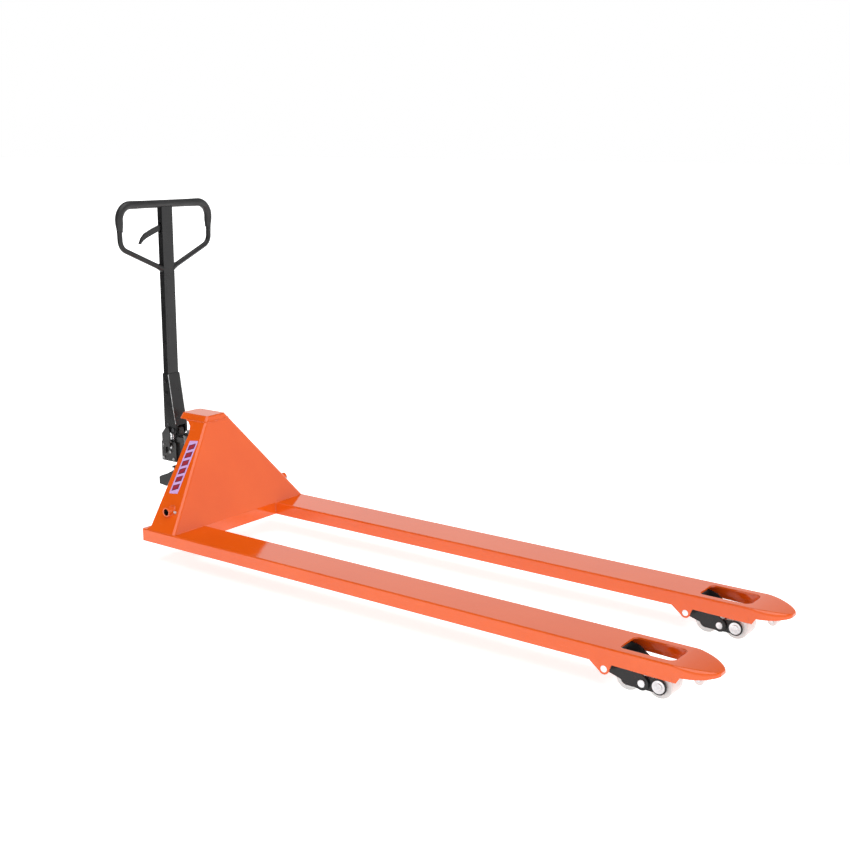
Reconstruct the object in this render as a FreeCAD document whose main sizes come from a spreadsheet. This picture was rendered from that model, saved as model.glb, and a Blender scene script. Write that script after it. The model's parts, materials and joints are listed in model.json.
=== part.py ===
import FreeCAD, Part

import math
import os

import Sketcher

# A hand pallet jack with two long forks, in millimetres. +X runs from the handle to the fork tips,
# +Y to the left and +Z up. The origin is on the floor, under the middle of the jack's outline.
# The forks stand a little way up: the lift joint lowers them from here and raises them.
# Distances called "from heel" are measured along X from the rear end of the forks.

doc = FreeCAD.newDocument("pallet_jack")
sheet = doc.addObject("Spreadsheet::Sheet", "Sizes")

SIZES = {
    # outline
    "nose_reach": 2152,
    "rear_reach": 238,
    "overall_wide": 685,
    # forks
    "fork_wide": 155,
    "fork_top": 125,
    "fork_deep": 45,
    "fork_skin": 6,
    "skirt_skin": 5,
    "fork_bend": 5,
    "heel_round": 8,
    "fork_rear": -16,
    "heel_seat_deep": 0.5,
    "heel_seat_to": 150,
    "nose_from": 2040,
    "nose_lift": 14,
    "chin_to": 2062,
    "chin_inset": 0.6,
    "window_from": 1868,
    "window_to": 2034,
    "window_half": 50,
    "window_rear_round": 15,
    "window_front_round": 24,
    "lever_slot_from": 30,
    "lever_slot_to": 135,
    "rail_from": 1700,
    "rail_to": 2033,
    "rail_tall": 26,
    "rail_thick": 6,
    # wheel pivots and load rollers
    "pivot_from": 1838,
    "pivot_high": 63,
    "lug_radius": 16,
    "pin_radius": 10,
    "bogie_from": 1940,
    "roller_radius": 37,
    "roller_wide": 70,
    "axle_half_gap": 48,
    "bogie_inner": 37,
    "bogie_thick": 4.5,
    "bogie_end": 19.5,
    "arm_inner": 43,
    "arm_thick": 6,
    "arm_end": 20,
    "arm_hub": 16,
    "rod_crank": 40,
    "rod_lean": 7.8,
    "rod_pin_radius": 6,
    "rod_eye": 12,
    "rod_aside": 13,
    "rod_radius": 10,
    "nose_roller_from": 2094,
    "nose_roller_high": 77,
    "nose_roller_radius": 14,
    "nose_roller_half": 24,
    "nose_bracket_half": 4,
    "nose_pin_radius": 5,
    "bearing_radius": 20,
    "bearing_deep": 14,
    # frame over the heel of the forks
    "cap_high": 487,
    "cap_thick": 20,
    "cap_back": -108,
    "cap_corner": 18,
    "cap_bend": 6,
    "shell_skin": 5,
    "shell_bend": 14,
    "shell_top_half": 46,
    "shell_side_slope": 0.8177,
    "shell_front_slope": 0.3177,
    "shell_top_from": 30,
    "back_edge_low": 23,
    "back_edge_high": -18,
    # rocker
    "shaft_from": 78,
    "shaft_high": 191,
    "shaft_radius": 12.5,
    "boss_radius": 16.5,
    "boss_outer": 310,
    "boss_inner": 250,
    "boss_recess": 20,
    "tube_radius": 21,
    "tube_half": 246,
    "lever_drop": 66,
    "lever_thick": 8,
    "rocker_arm_middle": 54.5,
    "rocker_arm_thick": 12,
    # pump, ram and steering
    "steer_from": -75,
    "steer_wheel_radius": 90,
    "steer_wheel_wide": 50,
    "steer_wheel_inner": 34,
    "tyre_thick": 20,
    "steer_axle_radius": 12.5,
    "ram_radius": 18,
    "cylinder_radius": 36,
    "collar_radius": 46,
    "collar_high": 215,
    "collar_tall": 24,
    "collar_pin_radius": 9,
    "tank_radius": 52,
    "tank_low": 300,
    "tank_high": 398,
    "block_low": 281,
    "block_high": 355,
    "block_front": -160,
    "block_half": 30,
    "tilt_from": -172,
    "tilt_high": 405,
    "tilt_pin_radius": 8,
    # handle
    "base_half": 29,
    "base_high": 618,
    "stem_from": -204,
    "stem_deep": 24,
    "stem_wide": 52,
    "stem_skin": 3,
    "stem_low": 520,
    "loop_high": 1250,
    "loop_tube": 9.5,
    "grip_radius": 15,
    "loop_half": 223,
    "grip_low": 1155,
    "loop_waist": 1098,
    "loop_foot": 1014,
    "lever_pivot_high": 1166,
    # fits
    "running_gap": 0.05,
    "side_gap": 1,
}


class Size:
    """A length worked out from the sheet: its value now, and the formula that keeps it up to date."""

    def __init__(self, value, formula):
        self.value = value
        self.formula = formula

    def __add__(self, other):
        other = size(other)
        return Size(self.value + other.value, f"({self.formula} + {other.formula})")

    def __sub__(self, other):
        other = size(other)
        return Size(self.value - other.value, f"({self.formula} - {other.formula})")

    def __mul__(self, other):
        other = size(other)
        return Size(self.value * other.value, f"({self.formula} * {other.formula})")

    def __truediv__(self, other):
        other = size(other)
        return Size(self.value / other.value, f"({self.formula} / {other.formula})")

    def __neg__(self):
        return Size(-self.value, f"(0 - {self.formula})")

    def __radd__(self, other):
        return size(other) + self

    def __rsub__(self, other):
        return size(other) - self

    def __rmul__(self, other):
        return size(other) * self


def size(number):
    """Any plain number as a Size."""
    return number if isinstance(number, Size) else Size(number, f"{number}")


class Dimensions:
    """The sheet's cells by name."""


d = Dimensions()
for row, (name, value) in enumerate(SIZES.items(), start=1):
    sheet.set(f"A{row}", name)
    sheet.set(f"B{row}", f"{value}")
    sheet.setAlias(f"B{row}", name)
    setattr(d, name, Size(value, f"Sizes.{name}"))
doc.recompute()

HEEL = (d.rear_reach - d.nose_reach) / 2
TURNS = {
    "X": FreeCAD.Rotation(FreeCAD.Vector(0, 1, 0), 90),
    "Y": FreeCAD.Rotation(FreeCAD.Vector(1, 0, 0), -90),
    "Z": FreeCAD.Rotation(),
}
nodes = {}


def along(from_heel):
    """X of a place given by its distance from the fork's heel."""
    return HEEL + from_heel


def polar(radius, degrees):
    """Offsets along two axes of a point at a radius and an angle."""
    angle = size(degrees)
    turn = math.radians(angle.value)
    level = Size(math.cos(turn), f"cos({angle.formula})")
    rise = Size(math.sin(turn), f"sin({angle.formula})")
    return radius * level, radius * rise


def bind(item, path, length):
    """Set a property from a Size and keep it bound to the sheet."""
    item.setExpression(path, size(length).formula)


def keep(item, label):
    """Name a finished sub-part."""
    item.Label = label
    nodes[label] = item
    return item


# ---- primitives and booleans ----


def box(name, x, y, z):
    """A block between a low and a high value on each axis."""
    item = doc.addObject("Part::Box", name)
    for path, (low, high) in (("Length", x), ("Width", y), ("Height", z)):
        bind(item, path, size(high) - low)
    for path, (low, high) in (("x", x), ("y", y), ("z", z)):
        bind(item, f"Placement.Base.{path}", low)
    return item


def cylinder(name, axis, start, radius, length):
    """A round bar from the centre of its first end."""
    item = doc.addObject("Part::Cylinder", name)
    item.Placement = FreeCAD.Placement(FreeCAD.Vector(), TURNS[axis])
    bind(item, "Radius", radius)
    bind(item, "Height", length)
    for path, place in zip("xyz", start):
        bind(item, f"Placement.Base.{path}", place)
    return item


def cut(name, base, *tools):
    """The base without the tools."""
    item = doc.addObject("Part::Cut", name)
    item.Base = base
    item.Tool = tools[0] if len(tools) == 1 else group(f"{name}_tools", *tools)
    return item


def fuse(name, *parts):
    """Pieces welded or cast as one."""
    item = doc.addObject("Part::MultiFuse", name)
    item.Shapes = list(parts)
    item.Refine = True
    return item


def group(name, *parts):
    """Separate solids kept together."""
    item = doc.addObject("Part::Compound", name)
    item.Links = list(parts)
    return item


def mirrored(name, source):
    """The same piece on the other side of the jack."""
    item = doc.addObject("Part::Mirroring", name)
    item.Source = source
    item.Normal = FreeCAD.Vector(0, 1, 0)
    return item


def tube(name, axis, start, outer, inner, length):
    """A round bar with a bore through it."""
    bar = cylinder(f"{name}_bar", axis, start, outer, length)
    bore = cylinder(f"{name}_bore", axis, start, inner, length)
    return cut(name, bar, bore)


def rounded_bar(name, axis, start, radius, length, rounding):
    """A round bar with its two end edges rounded."""
    bar = cylinder(f"{name}_bar", axis, start, radius, length)
    doc.recompute()
    item = doc.addObject("Part::Fillet", name)
    item.Base = bar
    item.Edges = [
        (i, rounding, rounding)
        for i, edge in enumerate(bar.Shape.Edges, start=1)
        if isinstance(edge.Curve, Part.Circle)
    ]
    return item


def both_sides(label, right):
    """The right-hand piece and its left-hand mirror image, as two sub-parts."""
    keep(right, f"{label}_right")
    keep(mirrored(f"{label}_mirror", right), f"{label}_left")


# ---- sketched bodies ----

# Each plane: the role of the origin plane, and the direction of its normal along the third axis.
PLANES = {"XY": 1, "XZ": -1, "YZ": 1}


def new_body(name):
    return doc.addObject("PartDesign::Body", name)


def sketch_on(body, plane, offset):
    """An empty sketch on one of the body's origin planes, moved along the third axis."""
    sketch = body.newObject("Sketcher::SketchObject", f"{body.Name}_sketch")
    role = f"{plane}_Plane"
    sketch.AttachmentSupport = [(next(f for f in body.Origin.OriginFeatures if f.Role == role), "")]
    sketch.MapMode = "FlatFace"
    bind(sketch, ".AttachmentOffset.Base.z", size(offset) * PLANES[plane])
    return sketch


def place_point(sketch, geometry, point, place):
    """Tie one sketch point to the sheet by its two distances from the origin."""
    for kind, length in zip(("DistanceX", "DistanceY"), place):
        made = sketch.addConstraint(Sketcher.Constraint(kind, -1, 1, geometry, point, size(length).value))
        bind(sketch, f"Constraints[{made}]", length)


def outline(body, plane, offset, corners):
    """A closed outline with straight sides."""
    sketch = sketch_on(body, plane, offset)
    flat = [FreeCAD.Vector(size(u).value, size(v).value, 0) for u, v in corners]
    for start, end in zip(flat, flat[1:] + flat[:1]):
        sketch.addGeometry(Part.LineSegment(start, end))
    for side in range(len(corners)):
        sketch.addConstraint(Sketcher.Constraint("Coincident", side, 2, (side + 1) % len(corners), 1))
    for side, corner in enumerate(corners):
        place_point(sketch, side, 1, corner)
    return sketch


def disc(body, plane, offset, centre, radius):
    """A circular outline."""
    sketch = sketch_on(body, plane, offset)
    middle = FreeCAD.Vector(size(centre[0]).value, size(centre[1]).value, 0)
    sketch.addGeometry(Part.Circle(middle, FreeCAD.Vector(0, 0, 1), size(radius).value))
    place_point(sketch, 0, 3, centre)
    made = sketch.addConstraint(Sketcher.Constraint("Radius", 0, size(radius).value))
    bind(sketch, f"Constraints[{made}]", radius)
    return sketch


def pad(body, plane, low, high, corners=None, centre=None, radius=None):
    """Add material between two heights on the plane's third axis."""
    start = low if PLANES[plane] > 0 else high
    if corners:
        sketch = outline(body, plane, start, corners)
    else:
        sketch = disc(body, plane, start, centre, radius)
    doc.recompute()
    feature = body.newObject("PartDesign::Pad", f"{body.Name}_pad")
    feature.Profile = sketch
    bind(feature, "Length", size(high) - low)
    doc.recompute()
    return body


def pocket(body, plane, low, high, corners=None, centre=None, radius=None):
    """Take material away between two heights on the plane's third axis."""
    start = high if PLANES[plane] > 0 else low
    if corners:
        sketch = outline(body, plane, start, corners)
    else:
        sketch = disc(body, plane, start, centre, radius)
    doc.recompute()
    before = body.Shape.Volume
    feature = body.newObject("PartDesign::Pocket", f"{body.Name}_pocket")
    feature.Profile = sketch
    bind(feature, "Length", size(high) - low)
    doc.recompute()
    if body.Shape.Volume > before - 1:
        raise RuntimeError(f"{body.Name}: a pocket cut nothing")
    return body


def round_edges(body, radius, wanted):
    """Round the edges that a test picks."""
    base = body.Tip
    names = [f"Edge{i}" for i, edge in enumerate(base.Shape.Edges, start=1) if wanted(edge)]
    if not names:
        raise RuntimeError(f"{body.Name}: no edge to round")
    feature = body.newObject("PartDesign::Fillet", f"{body.Name}_round")
    feature.Base = (base, names)
    bind(feature, "Radius", radius)
    doc.recompute()
    if "Invalid" in feature.State:
        raise RuntimeError(f"{body.Name}: rounding by {radius} failed")
    return body


def runs_along(edge, axis):
    """True for a straight edge parallel to an axis (0, 1, 2 for X, Y, Z)."""
    if not isinstance(edge.Curve, Part.Line):
        return False
    return abs(edge.tangentAt(edge.FirstParameter)[axis]) > 0.9999


def edge_middle(edge):
    return edge.valueAt((edge.FirstParameter + edge.LastParameter) / 2)


def rectangle(low_u, high_u, low_v, high_v):
    return [(low_u, low_v), (high_u, low_v), (high_u, high_v), (low_u, high_v)]


# ---- places used by several sub-parts ----

OUTER_Y = -d.overall_wide / 2
INNER_Y = OUTER_Y + d.fork_wide
FORK_Y = OUTER_Y + d.fork_wide / 2
FORK_LOW = d.fork_top - d.fork_deep
FORK_CEILING = d.fork_top - d.fork_skin
ROD_Y = FORK_Y + d.rod_aside
PIVOT_X = along(d.pivot_from)
BOGIE_X = along(d.bogie_from)
LEAN_X, LEAN_Z = polar(d.rod_crank, 90 + d.rod_lean)
ROD_X = PIVOT_X + LEAN_X
ROD_Z = d.pivot_high + LEAN_Z
SHAFT_X = along(d.shaft_from)
STEER_X = along(d.steer_from)
LEVER_PIN_Z = d.shaft_high - d.lever_drop
TILT_X = along(d.tilt_from)
STEM_X = along(d.stem_from)
SHELL_HIGH = d.cap_high - d.cap_thick


def side_y(z):
    """How far out the frame's sloping side is at a height."""
    return d.shell_top_half + d.shell_side_slope * (d.cap_high - z)


def front_x(z):
    """Where the frame's sloping front is at a height."""
    return along(d.shell_top_from) + d.shell_front_slope * (d.cap_high - z)


# ---- forks ----


# The solid nose's cross-sections: from heel, half width, top height, bottom height, top corner radius.
NOSE_SECTIONS = (
    (2040, 77.5, 125, 94, 5),
    (2048, 77.4, 124.9, 94, 5.6),
    (2060, 76.9, 124.3, 94, 7.5),
    (2074, 74.8, 123.2, 94, 10),
    (2090, 70.4, 121.6, 94.4, 12),
    (2105, 64, 119.8, 95, 13),
    (2119, 55.6, 117.8, 95.8, 13),
    (2131, 46, 115.6, 96.8, 12),
    (2141, 35.5, 113.4, 98, 10.5),
    (2148, 25, 111.4, 99, 8.5),
    (2152, 15, 109.4, 100, 6.5),
)


def nose_section(from_heel, half, top, bottom, bend):
    """One upright outline across the nose, its two top corners rounded."""
    x = along(from_heel).value
    middle = FORK_Y.value
    slant = bend * (1 - math.sqrt(0.5))
    low_right = FreeCAD.Vector(x, middle - half, bottom)
    low_left = FreeCAD.Vector(x, middle + half, bottom)
    arcs = []
    for side in (-1, 1):
        start = FreeCAD.Vector(x, middle + side * half, top - bend)
        halfway = FreeCAD.Vector(x, middle + side * (half - slant), top - slant)
        end = FreeCAD.Vector(x, middle + side * (half - bend), top)
        arcs.append((start, halfway, end))
    right, left = arcs
    edges = [
        Part.LineSegment(low_left, low_right),
        Part.LineSegment(low_right, right[0]),
        Part.Arc(*right),
        Part.LineSegment(right[2], left[2]),
        Part.Arc(*reversed(left)),
        Part.LineSegment(left[0], low_left),
    ]
    item = doc.addObject("Part::Feature", "nose_section")
    item.Shape = Part.Wire([edge.toShape() for edge in edges])
    return item


def nose():
    """The domed solid nose, drooping and narrowing to the fork's tip."""
    item = doc.addObject("Part::Loft", "nose")
    item.Sections = [nose_section(*section) for section in NOSE_SECTIONS]
    item.Solid = True
    return item


def chin(side):
    """The skirt's short tail under the start of the nose."""
    body = new_body("chin")
    outer = d.fork_wide / 2 - d.chin_inset
    sides = sorted((FORK_Y + side * outer, FORK_Y + side * (outer - d.skirt_skin)), key=lambda place: place.value)
    profile = [
        (along(d.nose_from) - 6, FORK_LOW - 3.5),
        (along(d.chin_to) - 11, FORK_LOW - 4),
        (along(d.chin_to), FORK_LOW + d.nose_lift - 1),
        (along(d.chin_to), FORK_LOW + d.nose_lift + 6),
        (along(d.nose_from) - 6, FORK_LOW + d.nose_lift + 6),
    ]
    return pad(body, "XZ", *sides, corners=profile)


def nose_bracket():
    """The hanger under the nose that carries the entry rollers' pin."""
    body = new_body("nose_bracket")
    x = along(d.nose_roller_from)
    z = d.nose_roller_high
    profile = [
        (x - 10, z - 6),
        (x - 5, z - 10),
        (x + 5, z - 10),
        (x + 10, z - 6),
        (x + 12, FORK_LOW + d.nose_lift + 6),
        (x - 14, FORK_LOW + d.nose_lift + 6),
    ]
    sides = (FORK_Y - d.nose_bracket_half, FORK_Y + d.nose_bracket_half)
    pad(body, "XZ", *sides, corners=profile)
    return pocket(body, "XZ", sides[0] - 1, sides[1] + 1, centre=(x, z), radius=d.nose_pin_radius)


def channel():
    """The fork's long channel, open below, with a window over the rollers and lugs for the wheel pivot."""
    body = new_body("channel")
    lug_low = d.pivot_high - 10
    profile = [
        (along(d.fork_rear), FORK_LOW),
        (PIVOT_X - 46, FORK_LOW),
        (PIVOT_X - 12, lug_low),
        (PIVOT_X + 12, lug_low),
        (PIVOT_X + 23, FORK_LOW),
        (along(d.nose_from), FORK_LOW - 3.8),
        (along(d.nose_from), d.fork_top),
        (along(d.fork_rear), d.fork_top),
    ]
    pad(body, "XZ", OUTER_Y, INNER_Y, corners=profile)
    pad(body, "XZ", OUTER_Y, INNER_Y, centre=(PIVOT_X, d.pivot_high), radius=d.lug_radius)
    rear = along(d.fork_rear).value
    round_edges(body, d.heel_round, lambda e: runs_along(e, 2) and abs(edge_middle(e).x - rear) < 1)
    high = d.fork_top.value - 0.01
    front = along(d.nose_from).value - 0.01
    round_edges(body, d.fork_bend, lambda e: min(v.Z for v in e.Vertexes) > high
                and min(v.X for v in e.Vertexes) < front)
    hollow_half = d.fork_wide / 2 - d.skirt_skin
    hollow_x = (along(d.fork_rear + d.skirt_skin), along(d.nose_from) + 1)
    hollow = rectangle(*hollow_x, FORK_Y - hollow_half, FORK_Y + hollow_half)
    pocket(body, "XY", 0, FORK_CEILING, corners=hollow)
    window = rectangle(along(d.window_from), along(d.window_to), FORK_Y - d.window_half, FORK_Y + d.window_half)
    pocket(body, "XY", FORK_CEILING - 1, d.fork_top + 5, corners=window)
    middle = FORK_Y.value
    inside = d.fork_wide.value / 2 - 12
    for place, radius in ((d.window_from, d.window_rear_round), (d.window_to, d.window_front_round)):
        near = along(place).value
        round_edges(body, radius, lambda e: runs_along(e, 2) and abs(edge_middle(e).x - near) < 0.5
                    and abs(edge_middle(e).y - middle) < inside)
    slot_x = (along(d.lever_slot_from), along(d.lever_slot_to))
    pocket(body, "XY", FORK_CEILING - 1, d.fork_top + 5, corners=rectangle(*slot_x, ROD_Y - 11, ROD_Y + 19))
    pocket(body, "XZ", OUTER_Y - 1, INNER_Y + 1, centre=(PIVOT_X, d.pivot_high), radius=d.pin_radius)
    return body


def fork():
    """The channel and its nose welded together, with a shallow seat in the heel for the frame."""
    whole = fuse("fork_weld", channel(), nose(), chin(-1), chin(1), nose_bracket())
    seat_x = (along(d.fork_rear - 5), along(d.heel_seat_to))
    seat = box("heel_seat", seat_x, (OUTER_Y - 5, INNER_Y + 5), (d.fork_top - d.heel_seat_deep, d.fork_top + 5))
    return cut("fork_seated", whole, seat)


both_sides("fork", fork())


def window_rails():
    """Flat bars inside the skirts, stiffening the forks beside their windows."""
    bars = []
    for side in (-1, 1):
        skirt = FORK_Y + side * (d.fork_wide / 2 - d.skirt_skin)
        inner = skirt - side * d.rail_thick
        low, high = (skirt, inner) if side < 0 else (inner, skirt)
        x = (along(d.rail_from), along(d.rail_to))
        bars.append(box("rail", x, (low, high), (FORK_CEILING - d.rail_tall, FORK_CEILING)))
    return bars + [mirrored("rail_mirror", bar) for bar in bars]


keep(group("window_rails", *window_rails()), "window_rails")


def pivot_shaft():
    start = (PIVOT_X, OUTER_Y + 0.5, d.pivot_high)
    return cylinder("pivot_shaft", "Y", start, d.pin_radius, d.fork_wide - 1)


def on_both_sides(name, right):
    """One sub-part holding the right-hand piece and its mirror image."""
    return keep(group(f"{name}_pair", right, mirrored(f"{name}_mirror", right)), name)


on_both_sides("wheel_pivot_shafts", pivot_shaft())


def nose_roller_pin():
    half = d.nose_roller_half + 2
    start = (along(d.nose_roller_from), FORK_Y - half, d.nose_roller_high)
    return cylinder("nose_roller_pin", "Y", start, d.nose_pin_radius, half * 2)


on_both_sides("entry_roller_pins", nose_roller_pin())


# ---- frame over the heel ----


def frame_shell():
    """The folded plate over the fork heels: a front and two sloping sides, open behind and below."""
    body = new_body("shell")
    low = d.fork_top - d.heel_seat_deep
    profile = [
        (front_x(SHELL_HIGH), SHELL_HIGH),
        (front_x(low), low),
        (along(8), low),
        (along(d.back_edge_low), low + 12),
        (along(d.back_edge_high), d.cap_high - 60),
        (along(d.back_edge_high) - 12, d.cap_high - 39),
        (along(d.back_edge_high) - 30, d.cap_high - 27),
        (along(d.back_edge_high) - 50, SHELL_HIGH),
    ]
    reach = side_y(low)
    pad(body, "XZ", -reach, reach, corners=profile)
    for side in (-1, 1):
        wedge = [
            (side * side_y(SHELL_HIGH + 10), SHELL_HIGH + 10),
            (side * side_y(low - 10), low - 10),
            (side * side_y(low - 10) + side * 10, SHELL_HIGH + 10),
        ]
        pocket(body, "YZ", along(d.cap_back) - 10, front_x(low) + 10, corners=wedge)
    rise = SHELL_HIGH.value - low.value

    def is_fold(edge):
        ends = (edge.valueAt(edge.FirstParameter), edge.valueAt(edge.LastParameter))
        tall = abs(ends[0].z - ends[1].z) > rise * 0.98
        return tall and max(p.x for p in ends) > front_x(low).value - 1

    round_edges(body, d.shell_bend, is_fold)
    base = body.Tip
    open_faces = []
    for i, face in enumerate(base.Shape.Faces, start=1):
        normal = face.normalAt(0, 0)
        middle = face.CenterOfMass
        behind = normal.x < -0.3 and abs(middle.y) < 1
        level = abs(normal.z) > 0.99
        if behind or level or (normal.z < -0.5 and abs(middle.y) < 1):
            open_faces.append(f"Face{i}")
    hollow = body.newObject("PartDesign::Thickness", "shell_hollow")
    hollow.Base = (base, open_faces)
    bind(hollow, "Value", d.shell_skin)
    hollow.Reversed = True
    hollow.Join = "Intersection"
    doc.recompute()
    return body


def front_apron():
    """The front plate's lower edge, between the forks."""
    x = (front_x(d.fork_top) - d.shell_skin, front_x(d.fork_top))
    return box("apron", x, (INNER_Y + 0.2, -INNER_Y - 0.2), (FORK_LOW, d.fork_top + 0.5))


def boss_hole(name, side):
    low = d.boss_inner if side > 0 else -d.boss_outer
    start = (SHAFT_X, low, d.shaft_high)
    return cylinder(name, "Y", start, d.boss_radius, d.boss_outer - d.boss_inner)


plate = fuse("frame_plate", frame_shell(), front_apron())
keep(cut("frame_shell", plate, boss_hole("hole_right", -1), boss_hole("hole_left", 1)), "frame_shell")


def top_cap():
    """The thick plate on top of the frame, flush with its slopes, which the ram pushes up."""
    body = new_body("cap")
    profile = [
        (front_x(d.cap_high), d.cap_high),
        (front_x(SHELL_HIGH), SHELL_HIGH),
        (along(d.cap_back), SHELL_HIGH),
        (along(d.cap_back), d.cap_high),
    ]
    reach = side_y(SHELL_HIGH)
    pad(body, "XZ", -reach, reach, corners=profile)
    for side in (-1, 1):
        wedge = [
            (side * side_y(d.cap_high + 5), d.cap_high + 5),
            (side * side_y(SHELL_HIGH - 5), SHELL_HIGH - 5),
            (side * side_y(SHELL_HIGH - 5) + side * 5, d.cap_high + 5),
        ]
        pocket(body, "YZ", along(d.cap_back) - 5, front_x(SHELL_HIGH) + 5, corners=wedge)
    top = d.cap_high.value - 0.01
    front = front_x(d.cap_high).value - 1
    rear = along(d.cap_back).value + 1

    def is_upright(edge):
        heights = [v.Z for v in edge.Vertexes]
        return max(heights) > top and min(heights) < top - 5

    round_edges(body, d.shell_bend, lambda e: is_upright(e) and min(v.X for v in e.Vertexes) > front)
    round_edges(body, d.cap_corner, lambda e: is_upright(e) and max(v.X for v in e.Vertexes) < rear + 3)
    return round_edges(body, d.cap_bend, lambda e: min(v.Z for v in e.Vertexes) > top)


keep(top_cap(), "top_cap")


def ram_socket():
    deep = 14
    return tube("ram_socket", "Z", (STEER_X, 0, SHELL_HIGH - deep), d.ram_radius + 10, d.ram_radius, deep)


keep(ram_socket(), "ram_socket")
keep(cylinder("ram", "Z", (STEER_X, 0, 300), d.ram_radius, SHELL_HIGH - 300), "ram")


def rocker_boss():
    """A round boss in the frame's side, recessed where the rocker shaft ends."""
    outer = cylinder("boss_bar", "Y", (SHAFT_X, -d.boss_outer, d.shaft_high), d.boss_radius, 60)
    bore = cylinder("boss_bore", "Y", (SHAFT_X, -d.boss_outer, d.shaft_high), d.shaft_radius, 60)
    return cut("rocker_boss", outer, bore)


on_both_sides("rocker_bosses", rocker_boss())
SHAFT_HALF = d.boss_outer - d.boss_recess
shaft_start = (SHAFT_X, -SHAFT_HALF, d.shaft_high)
keep(cylinder("rocker_shaft", "Y", shaft_start, d.shaft_radius, SHAFT_HALF * 2), "rocker_shaft")


def side_label():
    """A thin plate with no lettering, lying on the frame's sloping side near its rear edge."""
    body = new_body("label")
    slope = math.degrees(math.atan(d.shell_side_slope.value))
    length = 214
    pad(body, "XY", 0, 0.8, corners=rectangle(0, 40, -length / 2, length / 2))
    round_edges(body, 3, lambda e: runs_along(e, 2))
    middle_z = 322
    outward = FreeCAD.Vector(0, -math.cos(math.radians(slope)), math.sin(math.radians(slope)))
    uphill = FreeCAD.Vector(0, math.sin(math.radians(slope)), math.cos(math.radians(slope)))
    lean = FreeCAD.Vector(-26 / length, 0, 0)
    uphill = (uphill + lean).normalize()
    sideways = uphill.cross(outward).normalize()
    turn = FreeCAD.Rotation(sideways, uphill, outward, "ZXY")
    place = FreeCAD.Vector(along(18).value, -side_y(middle_z).value, middle_z)
    body.Placement = FreeCAD.Placement(place + outward * 0.05, turn)
    bind(body, "Placement.Base.x", along(18))
    return body


on_both_sides("side_labels", side_label())

# ---- rocker ----


def rocker():
    """The tube on the cross shaft, with two arms back to the collar and two levers down to the rods."""
    arm = new_body("rocker_arm")
    middle = d.rocker_arm_middle
    half = d.rocker_arm_thick / 2
    pin_x = STEER_X
    pin_z = d.collar_high
    profile = [
        (pin_x - 24, pin_z - 22),
        (pin_x + 14, pin_z - 22),
        (pin_x + 60, pin_z - 12),
        (pin_x + 92, pin_z - 4),
        (SHAFT_X - 17, d.shaft_high - 15),
        (SHAFT_X + 10, d.shaft_high - 10),
        (SHAFT_X + 12, d.shaft_high + 12),
        (SHAFT_X - 22, pin_z + 18),
        (pin_x + 92, pin_z + 31),
        (pin_x + 20, pin_z + 24),
        (pin_x - 24, pin_z + 22),
    ]
    pad(arm, "XZ", -middle - half, -middle + half, corners=profile)
    slot = rectangle(pin_x - 30, pin_x + 13, pin_z - 11, pin_z + 11)
    pocket(arm, "XZ", -middle - half - 1, -middle + half + 1, corners=slot)
    lever = new_body("rocker_lever")
    low = ROD_Y + 6
    high = low + d.lever_thick
    blade = [
        (SHAFT_X - 20, d.shaft_high),
        (SHAFT_X - 12, LEVER_PIN_Z),
        (SHAFT_X + 12, LEVER_PIN_Z),
        (SHAFT_X + 20, d.shaft_high),
    ]
    pad(lever, "XZ", low, high, corners=blade)
    pad(lever, "XZ", low, high, centre=(SHAFT_X, LEVER_PIN_Z), radius=12)
    pad(lever, "XZ", low, high, centre=(SHAFT_X, d.shaft_high), radius=d.tube_radius + 3)
    start = (SHAFT_X, -d.tube_half, d.shaft_high)
    bar = cylinder("rocker_bar", "Y", start, d.tube_radius, d.tube_half * 2)
    pieces = [bar, arm, lever, mirrored("arm_mirror", arm), mirrored("lever_mirror", lever)]
    bore_radius = d.shaft_radius + 2.5
    bore = cylinder("rocker_bore", "Y", (SHAFT_X, -d.tube_half - 5, d.shaft_high), bore_radius, d.tube_half * 2 + 10)
    pin_hole = cylinder("lever_hole", "Y", (SHAFT_X, -400, LEVER_PIN_Z), d.rod_pin_radius, 800)
    return cut("rocker", fuse("rocker_weld", *pieces), bore, pin_hole)


keep(rocker(), "rocker")


def rocker_bush():
    start = (SHAFT_X, -d.tube_half, d.shaft_high)
    inner = d.shaft_radius + d.running_gap
    return tube("rocker_bush", "Y", start, d.shaft_radius + 2.5, inner, 40)


on_both_sides("rocker_bushes", rocker_bush())


def lever_pin():
    start = (SHAFT_X, ROD_Y - 10, LEVER_PIN_Z)
    return cylinder("lever_pin", "Y", start, d.rod_pin_radius, 26)


on_both_sides("lever_pins", lever_pin())

# ---- wheel frames, push rods, bogies and rollers ----


def hull_plate(body, low, high, discs):
    """A flat plate round several discs, each given by its centre and radius, in order round the plate."""
    corners = []
    count = len(discs)
    for i in range(count):
        (ax, az), ar = discs[i]
        (bx, bz), br = discs[(i + 1) % count]
        dx = size(bx).value - size(ax).value
        dz = size(bz).value - size(az).value
        length = math.hypot(dx, dz)
        tilt = math.degrees(math.atan2(dz, dx) - math.acos((size(ar).value - size(br).value) / length))
        for (cx, cz), radius in (((ax, az), ar), ((bx, bz), br)):
            out_x, out_z = polar(radius, round(tilt, 4))
            corners.append((cx + out_x, cz + out_z))
    pad(body, "XZ", low, high, corners=corners)
    for centre, radius in discs:
        pad(body, "XZ", low, high, centre=centre, radius=radius)
    return body


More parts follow.
